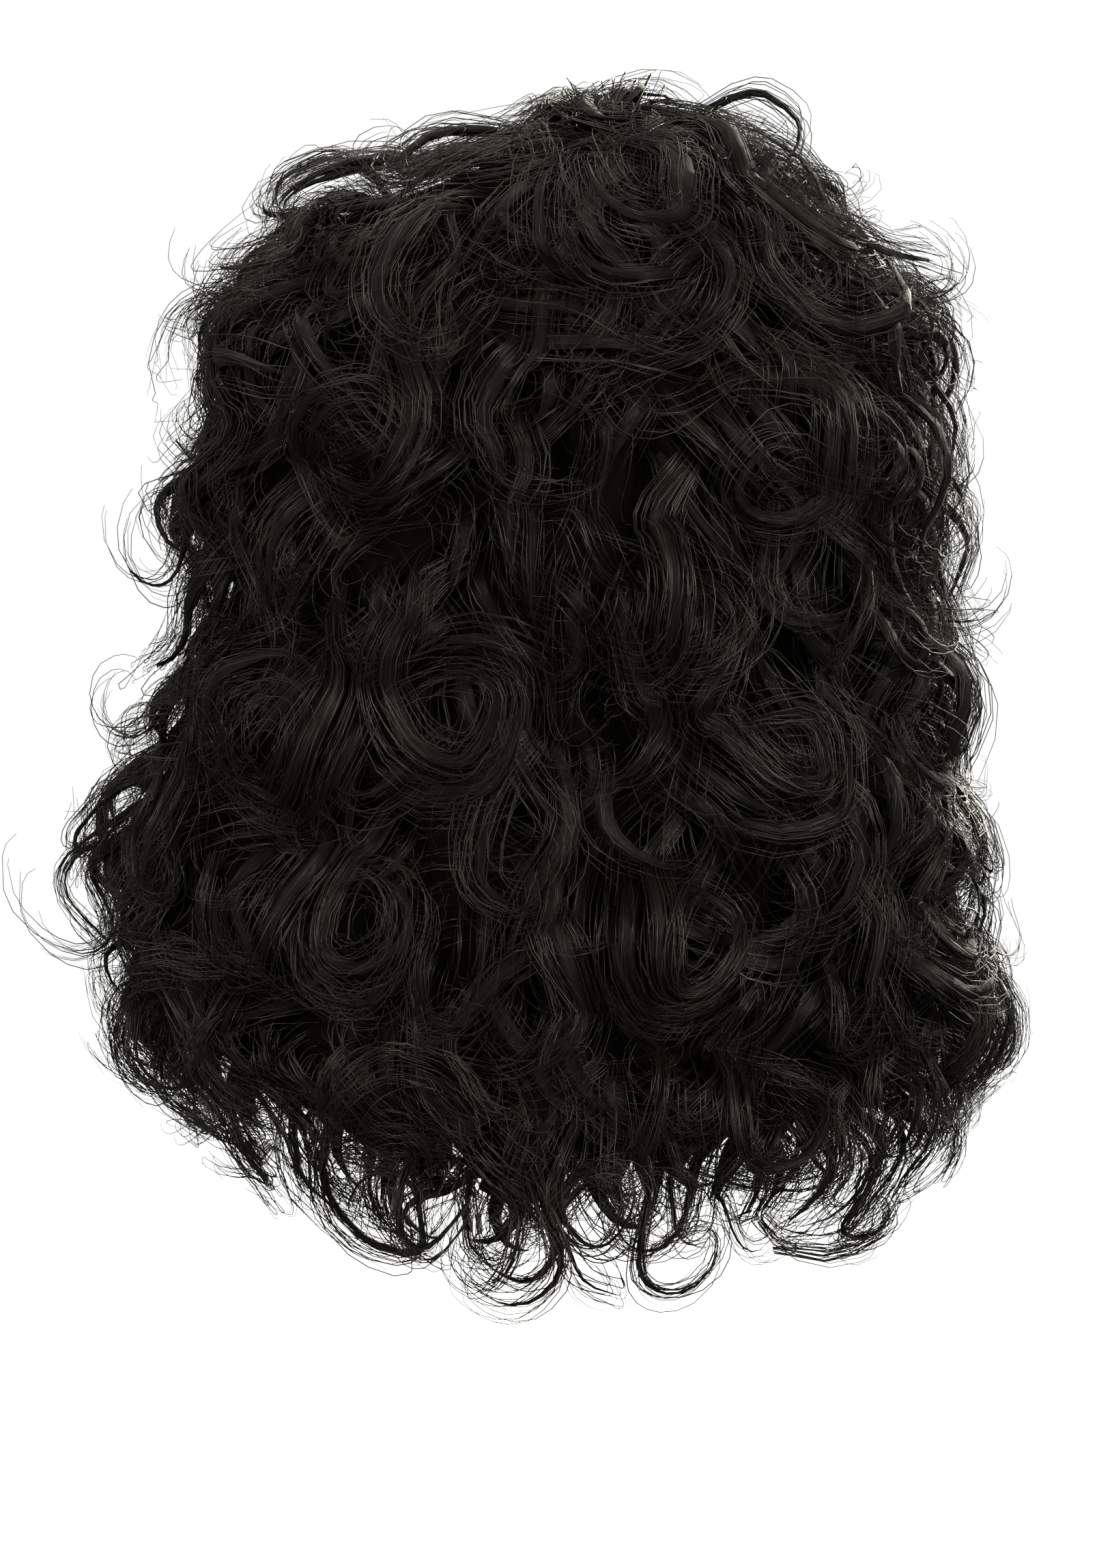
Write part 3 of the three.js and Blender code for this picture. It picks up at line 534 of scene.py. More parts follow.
def strandTree():
    tree = bpy.data.node_groups.new("lock strands", "GeometryNodeTree")
    for kind, names in strandInputs.items():
        for name in names:
            tree.interface.new_socket(name, in_out="INPUT", socket_type="NodeSocket" + kind)
    tree.interface.new_socket("Geometry", in_out="OUTPUT", socket_type="NodeSocketGeometry")
    given = addNode(tree, "NodeGroupInput").outputs
    index = addNode(tree, "GeometryNodeInputIndex")
    position = addNode(tree, "GeometryNodeInputPosition")
    spline = addNode(tree, "GeometryNodeSplineParameter")

    # A strand for each count of a path, with values of its own
    values = {name: given[name] for names in strandInputs.values() for name in names}
    kinds = {**pathAttributes, **dict.fromkeys(strandChances, "FLOAT"), "aside": "FLOAT_VECTOR"}
    for name, kind in kinds.items():
        values[name] = addNode(tree, "GeometryNodeInputNamedAttribute", {"Name": name}, data_type=kind)
    paths = addNode(tree, "GeometryNodeMeshToCurve", {"Mesh": given["Geometry"]})
    strands = addNode(
        tree, "GeometryNodeDuplicateElements", {0: paths, "Amount": values["count"]}, domain="SPLINE")
    for step, (name, (low, high)) in enumerate(strandChances.items(), 1):
        seed = addNode(tree, "ShaderNodeMath", {0: given["Seed"], 1: step}, operation="ADD")
        chance = addNode(tree, "FunctionNodeRandomValue", {2: low, 3: high, "ID": index, "Seed": seed})
        strands = addNode(
            tree, "GeometryNodeStoreNamedAttribute", {0: strands, "Name": name, "Value": chance.outputs[1]},
            domain="CURVE", data_type="FLOAT")
    aside = addNode(
        tree, "FunctionNodeRandomValue", {0: (-1, -1, -1), 1: (1, 1, 1), "ID": index, "Seed": given["Seed"]},
        data_type="FLOAT_VECTOR")
    strands = addNode(
        tree, "GeometryNodeStoreNamedAttribute", {0: strands, "Name": "aside", "Value": aside},
        domain="CURVE", data_type="FLOAT_VECTOR")

    # Where it lies, how long it is and how thick; strands that lie together bend together
    apart = addNode(
        tree, "ShaderNodeCombineXYZ", {0: values["beside"], 1: values["tint"], 2: values["drift"]})
    near = addNode(tree, "ShaderNodeVectorMath", {0: apart, 1: (0.06, 0.06, 0.06)}, operation="MULTIPLY")
    where = addNode(tree, "ShaderNodeVectorMath", {0: position, 1: near}, operation="ADD")
    frizz = addNode(
        tree, "ShaderNodeTexNoise", {"Vector": where, "Scale": given["Frizz Scale"], "Detail": 0.0})
    lockHalf = addNode(tree, "ShaderNodeVectorMath", {0: values["across"]}, operation="LENGTH")
    values["frizz"] = frizz.outputs["Color"]
    values["lockHalf"] = lockHalf.outputs["Value"]
    values["progress"] = spline.outputs["Factor"]
    for name, operation, *terms in strandSums:
        sockets = {i: values.get(term, term) for i, term in enumerate(terms)}
        values[name] = addNode(tree, "ShaderNodeMath", sockets, operation=operation)
    for name, operation, first, second in strandMoves:
        sockets = {0: values[first], "Scale" if operation == "SCALE" else 1: values.get(second, second)}
        values[name] = addNode(tree, "ShaderNodeVectorMath", sockets, operation=operation)
    normal = addNode(tree, "ShaderNodeVectorMath", {0: values["ridge"]}, operation="NORMALIZE")
    turned = addNode(tree, "GeometryNodeSetCurveNormal", {0: strands, "Normal": normal}, mode="FREE")
    moved = addNode(tree, "GeometryNodeSetPosition", {0: turned, "Offset": values["offset"]})
    trimmed = addNode(tree, "GeometryNodeTrimCurve", {0: moved, "End": values["length"]})
    along = spline.outputs["Length"]
    measured = addNode(
        tree, "GeometryNodeStoreNamedAttribute", {0: trimmed, "Name": "along", "Value": along},
        domain="POINT", data_type="FLOAT")

    # Its section, flattened along the curve's normal, which is the profile's x
    ring = addNode(tree, "GeometryNodeCurvePrimitiveCircle", {"Resolution": given["Sides"], "Radius": 1.0})
    flat = addNode(tree, "ShaderNodeCombineXYZ", {0: given["Flatness"], 1: 1.0, 2: 1.0})
    flattened = addNode(tree, "GeometryNodeTransform", {0: ring, "Scale": flat})
    sides = addNode(tree, "ShaderNodeSeparateXYZ", {0: position})
    profile = addNode(
        tree, "GeometryNodeStoreNamedAttribute", {0: flattened, "Name": "lateral", "Value": sides.outputs[1]},
        domain="POINT", data_type="FLOAT")
    tubes = addNode(tree, "GeometryNodeCurveToMesh", {
        0: measured, 1: profile, "Scale": values["radius"], "Fill Caps": True})
    smooth = addNode(tree, "GeometryNodeSetShadeSmooth", {0: tubes})
    real = addNode(tree, "GeometryNodeRealizeInstances", {0: smooth})
    dressed = addNode(tree, "GeometryNodeSetMaterial", {0: real, "Material": given["Finish"]})
    addNode(tree, "NodeGroupOutput", {0: dressed})
    return tree


lockStrands = strandTree()
spentAttributes = [*pathAttributes, "beside", "above", "cut", "drift", "aside", "custom_normal"]


def strandPiece(name, locks, counted, settings, seed):
    points = [point for lock in locks for point in lock["points"]]
    edges, start = [], 0
    for lock in locks:
        end = start + len(lock["points"])
        edges += [(i, i + 1) for i in range(start, end - 1)]
        start = end
    mesh = bpy.data.meshes.new(name + " paths")
    mesh.from_pydata([point["place"] for point in points], edges, [])
    for attribute in ("across", "ridge"):
        layer = mesh.attributes.new(attribute, "FLOAT_VECTOR", "POINT")
        layer.data.foreach_set("vector", [c for point in points for c in point[attribute]])
    shares = [point["share"] for point in points]
    counts = [lock[counted] for lock in locks for _ in lock["points"]]
    mesh.attributes.new("share", "FLOAT", "POINT").data.foreach_set("value", shares)
    mesh.attributes.new("count", "INT", "POINT").data.foreach_set("value", counts)
    paths = addObject(name + " paths", mesh)
    strands = paths.modifiers.new("strands", "NODES")
    strands.node_group = lockStrands
    inputs = {s.name: s.identifier for s in lockStrands.interface.items_tree if s.in_out == "INPUT"}
    for key, value in {**settings, "Seed": seed}.items():
        strands[inputs[key]] = value
    evaluated = paths.evaluated_get(bpy.context.evaluated_depsgraph_get())
    made = bpy.data.meshes.new_from_object(evaluated)
    made.name = name
    for attribute in spentAttributes:
        if attribute in made.attributes:
            made.attributes.remove(made.attributes[attribute])
    bpy.data.objects.remove(paths)
    return addPiece(name, made)


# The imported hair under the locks: a closed wall from the cap out to just under them
underHair = {
    "inset": 10, "ridge": 3.2, "pitch": 7.5, "swing": 3.5,  # mm, then degrees
    "column": 3, "row": 0.33, "combDegree": 2.3, "combLevel": 45,  # degrees and levels, then mm to each
    "hem": (0.0, 1.15), "plainHem": 0.1, "thinning": 2, "cornerRise": 1.1,  # levels
    "hangs": 125, "corner": 118, "cornerReach": 18, "thinned": 0.85,  # degrees, then a share
}


def underPoint(azimuth, level):  # on its outside, where ridges swing from side to side
    if level < 0.01:
        return Vector((0, 0, (hairRows[0][0] - underHair["inset"]) * mm))
    full = min(1, level / 2)
    swing = underHair["swing"] * full * math.sin(math.pi * level + math.radians(3 * azimuth))
    point, _, out = hairPlace(azimuth + swing, level)[:3]
    ridge = full * underHair["ridge"] * math.cos(math.pi * azimuth / underHair["pitch"])
    return point + out * (ridge - underHair["inset"]) * mm


def underPiece(name, start, end, top, low):
    ring = end - start == 360
    columns = round((end - start) / underHair["column"])
    rows = round(((low or hairHem[0][1]) - top) / underHair["row"])
    tall = rows + 1
    vertices, faces, uvs = [], [], []
    rng = random.Random(name)
    for c in range(columns if ring else columns + 1):
        azimuth = start + (end - start) * c / columns
        hanging = not low and abs(azimuth) < underHair["hangs"]
        raised = underHair["plainHem"]
        if hanging:  # a ragged hem, highest at the corner beside the face
            corner = max(0, 1 - abs(abs(azimuth) - underHair["corner"]) / underHair["cornerReach"])
            raised = rng.uniform(*underHair["hem"]) + underHair["cornerRise"] * corner
        bottom = low or hemAt(azimuth) - raised
        levels = [top + (bottom - top) * r / rows for r in range(tall)]
        outside = [underPoint(azimuth, level) for level in levels]
        inside = []
        for level, point in zip(levels, outside):
            near = max(0, 1 - (bottom - level) / underHair["thinning"]) if hanging else 0
            inside.append(innerPoint(azimuth, level).lerp(point, underHair["thinned"] * near))
        vertices += outside + inside
        uvs += [(azimuth * underHair["combDegree"], level * underHair["combLevel"]) for level in levels] * 2

    def outer(c, r):
        return (c % columns if ring else c) * 2 * tall + r

    def inner(c, r):
        return outer(c, r) + tall

    for c in range(columns):
        for r in range(rows):
            faces.append((outer(c, r), outer(c, r + 1), outer(c + 1, r + 1), outer(c + 1, r)))
            faces.append((inner(c, r), inner(c + 1, r), inner(c + 1, r + 1), inner(c, r + 1)))
        faces.append((outer(c, 0), outer(c + 1, 0), inner(c + 1, 0), inner(c, 0)))
        faces.append((outer(c, rows), inner(c, rows), inner(c + 1, rows), outer(c + 1, rows)))
    if not ring:
        last = columns
        for r in range(rows):
            faces.append((outer(0, r), inner(0, r), inner(0, r + 1), outer(0, r + 1)))
            faces.append((outer(last, r), outer(last, r + 1), inner(last, r + 1), inner(last, r)))
    mesh = bpy.data.meshes.new(name)
    mesh.from_pydata(vertices, [], faces)
    comb = mesh.uv_layers.new(name="comb")
    for loop in mesh.loops:
        comb.data[loop.index].uv = uvs[loop.vertex_index]
    # the first finish, on the outside under the locks, is darkened as painted shade
    for finish in packedFinishes:
        mesh.materials.append(finish)
    for face in mesh.polygons:
        face.material_index = all(v // tall % 2 for v in face.vertices)  # the second finish inside
    mesh.shade_smooth()
    mesh.set_sharp_from_angle(angle=math.radians(60))
    return addPiece(name, mesh)


# Pieces of hair: their bounds by azimuth and level, and their ring curls by azimuth, level, radius and hand.
# A curl that stands off the hair has its lean in degrees and its lift too
hairPieces = {
    "crown_curls": {"from": 0, "to": 360, "top": 0, "low": 3, "curls": [
        (-20, 1.75, 25, 1), (-60, 1.9, 16, -1, -70, 12), (64, 1.9, 14, -1, 70, 6), (92, 2.5, 15, 1, 75, 8),
        (30, 2.3, 24, 1), (66, 2.6, 23, 1), (-50, 2.8, 26, 1), (-11, 2.95, 26, -1), (108, 2.4, 24, -1),
        (-126, 2.4, 24, 1), (172, 2.4, 24, 1), (20, 3.95, 25, 1), (-17, 3.95, 22, -1), (-42, 3.95, 24, 1),
        (60, 3.6, 23, -1), (86, 3.5, 18, -1, 75, 10), (-66, 3.6, 23, 1), (-86, 3.5, 19, 1, -75, 8),
        (130, 3.7, 22, -1), (-134, 3.6, 22, 1)]},
    "upper_back_curls": {"from": -45, "to": 45, "top": 3, "low": 6, "curls": [
        (32, 5.1, 26, -1), (4, 5.3, 24, 1), (-30, 5.3, 26, -1), (37, 6.2, 24, 1), (-19, 6.3, 24, 1),
        (-39, 6.5, 23, -1), (16, 7.15, 26, 1)]},
    "middle_back_curls": {"from": -45, "to": 45, "top": 6, "low": 9, "curls": [
        (40, 7.45, 26, -1), (-6, 7.4, 21, -1), (-30, 7.45, 26, 1), (5, 8.4, 21, 1), (-33, 8.5, 22, -1),
        (39, 8.8, 22, -1), (23, 8.95, 22, 1), (-16, 9.0, 21, 1), (-39, 9.4, 23, -1), (5, 9.8, 22, -1)]},
    "lower_back_curls": {"from": -45, "to": 45, "top": 9, "low": None, "curls": [
        (26, 10.7, 21, 1), (-29, 10.6, 27, 1), (-5, 11.0, 23, -1), (36, 11.7, 25, 1), (11, 12.2, 19, -1),
        (-40, 11.5, 20, -1)]},
    "left_side_curls": {"from": 45, "to": 90, "top": 3, "low": None, "curls": [
        (67, 5.0, 24, -1), (86, 5.6, 18, -1, 75, 10), (68, 6.7, 24, 1), (86, 7.1, 17, -1, 75, 9),
        (66, 8.3, 24, -1), (86, 8.6, 19, -1, 75, 11), (66, 9.9, 23, 1), (57, 11.2, 20, -1),
        (82, 10.7, 19, 1)]},
    "right_side_curls": {"from": -90, "to": -45, "top": 3, "low": None, "curls": [
        (-86, 4.9, 22, 1, -75, 7), (-66, 5.4, 24, 1), (-86, 6.1, 20, 1, -75, 9), (-62, 7.5, 27, -1),
        (-86, 8.0, 20, 1, -75, 8), (-68, 9.1, 23, 1), (-61, 10.4, 21, -1), (-82, 10.6, 20, 1),
        (-55, 11.6, 19, 1)]},
    "left_front_curls": {"from": 90, "to": 180, "top": 3, "low": None, "side": 1, "curls": [
        (108, 4.8, 23, 1), (112, 6.0, 22, -1), (103, 7.2, 22, 1), (112, 8.2, 22, -1), (105, 9.5, 21, 1)]},
    "right_front_curls": {"from": -180, "to": -90, "top": 3, "low": None, "side": -1, "curls": [
        (-108, 4.7, 23, -1), (-112, 6.15, 22, 1), (-103, 7.1, 22, -1), (-112, 8.35, 22, 1),
        (-105, 9.4, 21, -1)]},
}
faceCurls = [(0.23, 19, 1), (0.46, 18, -1), (0.7, 19, 1), (0.94, 18, -1)]  # share of the edge, radius, hand
closedCurl = {"radius": 26, "level": 8.9, "turns": (1.1, 1.6)}  # broad ones, and those of one hand low down
hookedCurl = {"turns": (0.45, 0.8)}  # the others
faceCurl = {"lift": 13, "turns": (0.8, 1.3)}
hangingFrom = 1.4  # levels above the hem


def pieceAt(azimuth, level):
    azimuth = (azimuth + 180) % 360 - 180
    if level < hairPieces["crown_curls"]["low"]:
        return "crown_curls"
    for name, piece in hairPieces.items():
        if piece["from"] <= azimuth <= piece["to"] and piece["top"] <= level < (piece["low"] or math.inf):
            return name


lockEnds = {"crown": 0.6, "face": 124, "faceShare": 0.3}  # a level, an azimuth, and how far past the hem


def pastHem(rng, low=-0.15, high=0.45):  # a lock ends somewhere near the hem, or at the middle of the crown
    spare = rng.uniform(low, high)

    def ends(azimuth, level):
        part = 1 if abs(azimuth) < lockEnds["face"] else lockEnds["faceShare"]
        return level < lockEnds["crown"] or level > hemAt(azimuth) + spare * part

    return ends


locksOf = {name: [] for name in hairPieces}
for name, piece in hairPieces.items():
    rng = random.Random(name)
    for azimuth, level, radius, hand, *standing in piece["curls"]:
        closed = radius >= closedCurl["radius"] or level > closedCurl["level"] and hand > 0
        hanging = level > hemAt(azimuth) - hangingFrom
        turns = (closedCurl if closed else hookedCurl)["turns"]
        curl = (rng, hairPlace, azimuth, level, radius, hand)
        locksOf[name].append(ringLock(*curl, *standing, turns=turns, loose=hanging))
        if closed and not standing:
            ringCentres.append((hairPoint(azimuth, level), radius * mm))
            for _ in range(swirl["locks"]):
                counts = (0 if hanging else 1, swirl["strands"])
                locksOf[name].append(swirlLock(*curl, rng.uniform(*swirl["lift"]), counts))
    if "side" in piece:
        for along, radius, hand in faceCurls:
            place = faceEdge(piece["side"])
            locksOf[name].append(ringLock(rng, place, 0, along, radius, hand * piece["side"], **faceCurl))

# Smaller curls fill the room between those in the lower half, most of all near the hem
smallCurls = {"tries": 240, "reach": 122, "radius": (13, 18), "room": 0.9, "lift": (7, 12),
              "turns": (0.7, 1.4), "below": 0.25, "above": 3, "highest": 7.5}
rng = random.Random("small curls")
for _ in range(smallCurls["tries"]):
    azimuth = rng.uniform(-smallCurls["reach"], smallCurls["reach"])
    radius = rng.uniform(*smallCurls["radius"])
    level = hemAt(azimuth) + smallCurls["below"] - smallCurls["above"] * rng.random() ** 2
    if level < smallCurls["highest"]:
        continue
    point = hairPoint(azimuth, level)
    room = smallCurls["room"]
    if all((point - centre).length > room * (radius * mm + other) for centre, other in ringCentres):
        ringCentres.append((point, radius * mm))
        locksOf[pieceAt(azimuth, level)].append(ringLock(
            rng, hairPlace, azimuth, level, radius, rng.choice((-1, 1)),
            lift=rng.uniform(*smallCurls["lift"]), turns=smallCurls["turns"], loose=True))
print("ring curls:", sum(len(locks) for locks in locksOf.values()))

# A row of them along the hem
hemCurls = {"column": 6.5, "reach": 120, "above": (-0.25, 0.6), "radius": (12, 18), "lift": (0, 14),
            "turns": (0.7, 1.2), "uneven": (0.7, 1.3)}
rng = random.Random("hem curls")
azimuth = -hemCurls["reach"]
while azimuth < hemCurls["reach"]:
    level, radius = hemAt(azimuth) - rng.uniform(*hemCurls["above"]), rng.uniform(*hemCurls["radius"])
    locksOf[pieceAt(azimuth, level)].append(ringLock(
        rng, hairPlace, azimuth, level, radius, rng.choice((-1, 1)), lift=rng.uniform(*hemCurls["lift"]),
        turns=hemCurls["turns"], loose=True))
    azimuth += hemCurls["column"] * rng.uniform(*hemCurls["uneven"])

# Wavy locks in rows all round
waves = {
    "column": 8, "uneven": (0.8, 1.2), "evenFrom": 3.4,  # degrees, wider apart above this level
    "row": 0.66, "top": 1.6, "bottom": 12, "scatter": 0.35, "middle": 8, "aboveHem": 0.5,  # levels
    "length": (70, 120), "shortest": 60, "levelDrop": 40, "pastHem": (10, 40),  # mm
    "wave": (0.4, 0.9), "hands": (-1, 1), "hook": (1.5, 4.5), "halfWidth": (5.5, 9.5), "rise": (0, 15),
    "flip": (4.5, 7), "flipShare": (0.3, 0.12), "flipLength": 0.8, "sway": 0.5, "over": 0.12,
    "counts": (1, 11), "thin": (0, 13), "thinFrom": 1.6,
}
rng = random.Random("waves")
level = waves["top"]
while level < waves["bottom"]:
    azimuth = -180 + rng.uniform(0, waves["column"])
    while azimuth < 180:
        start = level + rng.uniform(-waves["scatter"], waves["scatter"])
        toHem = hemAt(azimuth) - start
        if toHem > waves["aboveHem"]:
            often = waves["flipShare"][0 if start < waves["middle"] else 1]  # the upper half, then the lower
            flip = rng.uniform(*waves["flip"]) if rng.random() < often else 0
            length = rng.uniform(*waves["length"])
            room = toHem * waves["levelDrop"] + rng.uniform(*waves["pastHem"])
            length = min(length, max(waves["shortest"], room)) * (waves["flipLength"] if flip else 1)
            locksOf[pieceAt(azimuth, start)].append(waveLock(
                rng, hairPlace, azimuth, start, length, **drawn(rng, waves),
                counts=waves["thin" if flip or toHem < waves["thinFrom"] else "counts"], flip=flip,
                heading=rng.gauss(0, waves["sway"]), over=rng.random() < waves["over"], ends=pastHem(rng)))
        azimuth += waves["column"] * max(1, waves["evenFrom"] / level) * rng.uniform(*waves["uneven"])
    level += waves["row"]

# Tufts along the hem, which hang past it and hook round
hem = {
    "column": 2.0, "uneven": (0.7, 1.3), "reach": 123, "start": (0.5, 1.8), "past": (0.1, 0.8),
    "length": (45, 80), "wave": (0.3, 0.8), "hands": (-1, 1), "hook": (2.5, 5), "halfWidth": (4, 7),
    "rise": (-6, 14), "sway": 0.4, "counts": (1, 14),
}
rng = random.Random("hem")
azimuth = -hem["reach"]
while azimuth < hem["reach"]:
    start = hemAt(azimuth) - rng.uniform(*hem["start"])
    locksOf[pieceAt(azimuth, start)].append(waveLock(
        rng, hairPlace, azimuth, start, rng.uniform(*hem["length"]), **drawn(rng, hem), counts=hem["counts"],
        heading=rng.gauss(0, hem["sway"]), over=True, ends=pastHem(rng, *hem["past"])))
    azimuth += hem["column"] * rng.uniform(*hem["uneven"])


crownReach = {"side": 118, "back": 116, "front": -98}  # mm, where the locks of the crown end


def offCrown(x, y):
    return abs(x) > crownReach["side"] or not crownReach["front"] <= y <= crownReach["back"]


# On the crown, locks from the whorl outwards, low to the left and the front
whorl = {
    "x": -18, "y": 22, "locks": 44, "start": (4, 46), "spiral": 0.5, "length": (80, 130), "wave": (0.7, 1.2),
    "hands": (-1, 1, 1), "hook": (1.5, 4), "halfWidth": waves["halfWidth"], "rise": (3, 11), "low": 0.3,
    "flip": (3.8, 6.2), "flipShare": 0.4, "scatter": 0.15, "lowFrom": 0.3,  # lowFrom: a sine and a cosine
}
rng = random.Random("whorl")
for i in range(whorl["locks"]):
    way = 2 * math.pi * i / whorl["locks"] + rng.uniform(-whorl["scatter"], whorl["scatter"])
    out = rng.uniform(*whorl["start"])
    flip = rng.uniform(*whorl["flip"]) if rng.random() < whorl["flipShare"] else 0
    length = rng.uniform(*whorl["length"])
    shape = drawn(rng, whorl)
    if math.sin(way) > whorl["lowFrom"] or math.cos(way) < -whorl["lowFrom"]:
        shape["rise"] *= whorl["low"]
    locksOf["crown_curls"].append(waveLock(
        rng, topPlace, whorl["x"] + out * math.sin(way), whorl["y"] + out * math.cos(way), length, **shape,
        counts=waves["thin" if flip else "counts"], heading=way + whorl["spiral"], flip=flip, ends=offCrown))

# Locks that fall back over the whorl
overWhorl = {
    "locks": 10, "x": (-46, 14), "y": (-28, 0), "length": (80, 120), "wave": (0.6, 1.1), "hands": (-1, 1),
    "hook": (1.5, 3.5), "halfWidth": waves["halfWidth"], "rise": (6, 11), "sway": 0.7, "counts": (1, 13),
}
rng = random.Random("over the whorl")
right, left = overWhorl["x"]
for i in range(overWhorl["locks"]):
    x = right + (left - right) * (i + rng.uniform(0, 1)) / overWhorl["locks"]
    locksOf["crown_curls"].append(waveLock(
        rng, topPlace, x, rng.uniform(*overWhorl["y"]), rng.uniform(*overWhorl["length"]),
        **drawn(rng, overWhorl), counts=overWhorl["counts"],
        heading=rng.uniform(-overWhorl["sway"], overWhorl["sway"]), over=True, ends=offCrown))

# Locks down the edge beside the face
besideFace = {
    "locks": 34, "across": (-24, 24), "widest": 28, "along": (0.0, 0.95), "lowest": 1.25, "length": (60, 110),
    "wave": (0.4, 0.9), "hook": (-2.5, 2.5), "halfWidth": 6, "rise": (2, 8), "counts": (1, 9),
}


def offFaceEdge(across, along):
    return abs(across) > besideFace["widest"] or along > besideFace["lowest"]


rng = random.Random("face edge")
for name in ("left_front_curls", "right_front_curls"):
    place = faceEdge(hairPieces[name]["side"])
    for i in range(besideFace["locks"]):
        across, along = rng.uniform(*besideFace["across"]), rng.uniform(*besideFace["along"])
        locksOf[name].append(waveLock(
            rng, place, across, along, rng.uniform(*besideFace["length"]), **drawn(rng, besideFace),
            counts=besideFace["counts"], ends=offFaceEdge))

# Locks along the edge over the brow
brow = {"locks": 28, "from": 135, "to": 225, "inward": (-0.05, 0.6), "length": (45, 80), "wave": (0.4, 0.9),
        "hands": (-1, 1), "hook": (1, 3), "halfWidth": 6, "rise": (2, 8), "aside": (0.9, 1.5), "root": -8,
        "counts": (1, 10), "room": (-0.15, 0.8), "span": (130, 230)}


def offBrow(azimuth, inward):
    (outer, inner), (left, right) = brow["room"], brow["span"]
    return not outer < inward < inner or not left < azimuth < right


rng = random.Random("brow")
for i in range(brow["locks"]):
    azimuth = brow["from"] + (brow["to"] - brow["from"]) * (i + rng.uniform(0, 1)) / brow["locks"]
    locksOf["left_front_curls" if azimuth < 180 else "right_front_curls"].append(waveLock(
        rng, browEdge, azimuth, rng.uniform(*brow["inward"]), rng.uniform(*brow["length"]),
        **drawn(rng, brow), counts=brow["counts"], root=brow["root"],
        heading=rng.choice((-1, 1)) * rng.uniform(*brow["aside"]), over=True, ends=offBrow))

# Bare places between the locks get one more each
fill = {"column": 4, "row": 0.22, "top": 2.4, "bottom": 11.6, "room": 9, "apart": 1.6, "length": (45, 75),
        "wave": (0.3, 0.7), "hands": (-1, 1), "hook": (1, 3.5), "halfWidth": 9, "rise": (0, 5), "sway": 0.5,
        "counts": (1, 8), "scatter": 0.3, "aboveHem": 0.3, "above": 0.5}
rng = random.Random("fill")
laid = [point["place"] for locks in locksOf.values() for lock in locks for point in lock["points"]]
nearest = KDTree(len(laid))
for i, point in enumerate(laid):
    nearest.insert(point, i)
nearest.balance()
bare = []
level = fill["top"]
while level < fill["bottom"]:
    for column in range(-180 // fill["column"], 180 // fill["column"]):
        azimuth = fill["column"] * (column + rng.uniform(-fill["scatter"], fill["scatter"]))
        spot = hairPoint(azimuth, level)
        room = fill["room"] * mm
        if level > hemAt(azimuth) - fill["aboveHem"] or nearest.find(spot)[2] < room:
            continue
        if any((spot - other).length < fill["apart"] * room for other in bare):
            continue
        bare.append(spot)
        locksOf[pieceAt(azimuth, level)].append(waveLock(
            rng, hairPlace, azimuth, level - fill["above"], rng.uniform(*fill["length"]), **drawn(rng, fill),
            counts=fill["counts"], heading=rng.gauss(0, fill["sway"]), over=True, ends=pastHem(rng)))
    level += fill["row"]
print("bare places filled:", len(bare))

# Loose strands that stand off the locks and curve every way
wisps = {
    "count": 300, "levels": (1.2, 12), "aboveHem": 0.2, "length": (50, 120), "wave": (0.2, 0.8),
    "hands": (-1, 1), "hook": (2, 5), "halfWidth": 3, "halfDepth": 2, "rise": (7, 20), "sway": 1.5,
    "root": -3, "counts": (0, 4),
}
rng = random.Random("wisps")
wispsOf = {name: [] for name in hairPieces}
while sum(len(loose) for loose in wispsOf.values()) < wisps["count"]:
    azimuth, level = rng.uniform(-180, 180), rng.uniform(*wisps["levels"])
    if level < hemAt(azimuth) - wisps["aboveHem"]:
        wispsOf[pieceAt(azimuth, level)].append(waveLock(
            rng, hairPlace, azimuth, level, rng.uniform(*wisps["length"]), **drawn(rng, wisps),
            counts=wisps["counts"], halfDepth=wisps["halfDepth"], root=wisps["root"],
            heading=rng.uniform(-wisps["sway"], wisps["sway"]), ends=pastHem(rng)))

# A lock is a packed core with strands over its outer side, and the strands run on past the core's end
cores = {
    "Width": 0.0, "Lock Width": 0.6, "Flatness": 0.45, "Sides": 5, "Spread": 0.0, "Height": 0.0,
    "Drift": 0.0, "Frizz": 2 * mm, "Frizz Scale": 24.0, "Stray": 0.0, "Longest": 0.78, "Ragged Ends": 0.15,
    "Tip Width": 0.06, "Finish": paintedShadeCoreFibre,
}
strands = {
    "Width": 0.52 * mm, "Lock Width": 0.0, "Flatness": 0.8, "Sides": 3, "Spread": 1.3, "Height": 1.0,
    "Drift": 0.7, "Frizz": 11 * mm, "Frizz Scale": 16.0, "Stray": 6 * mm, "Longest": 1.0, "Ragged Ends": 0.4,
    "Tip Width": 0.3, "Finish": hairFibre,
}
flyaways = {**strands, "Width": 0.3 * mm, "Frizz": 8 * mm, "Stray": 5 * mm}
total = 0
for seed, (name, piece) in enumerate(hairPieces.items()):
    made = [underPiece(name + "_under", piece["from"], piece["to"], piece["top"], piece["low"])]
    made.append(strandPiece(name + "_cores", locksOf[name], "cores", cores, 3 * seed + 1))
    made.append(strandPiece(name + "_strands", locksOf[name], "strands", strands, 3 * seed + 2))
    made.append(strandPiece(name + "_flyaways", wispsOf[name], "strands", flyaways, 3 * seed + 3))
    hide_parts(name)
    counts = [sum(len(f.vertices) - 2 for f in p.data.polygons) for p in made]
    total += sum(counts)
    print(name, "triangles: under %d, cores %d, strands %d, flyaways %d" % tuple(counts))
print("hair triangles:", total)


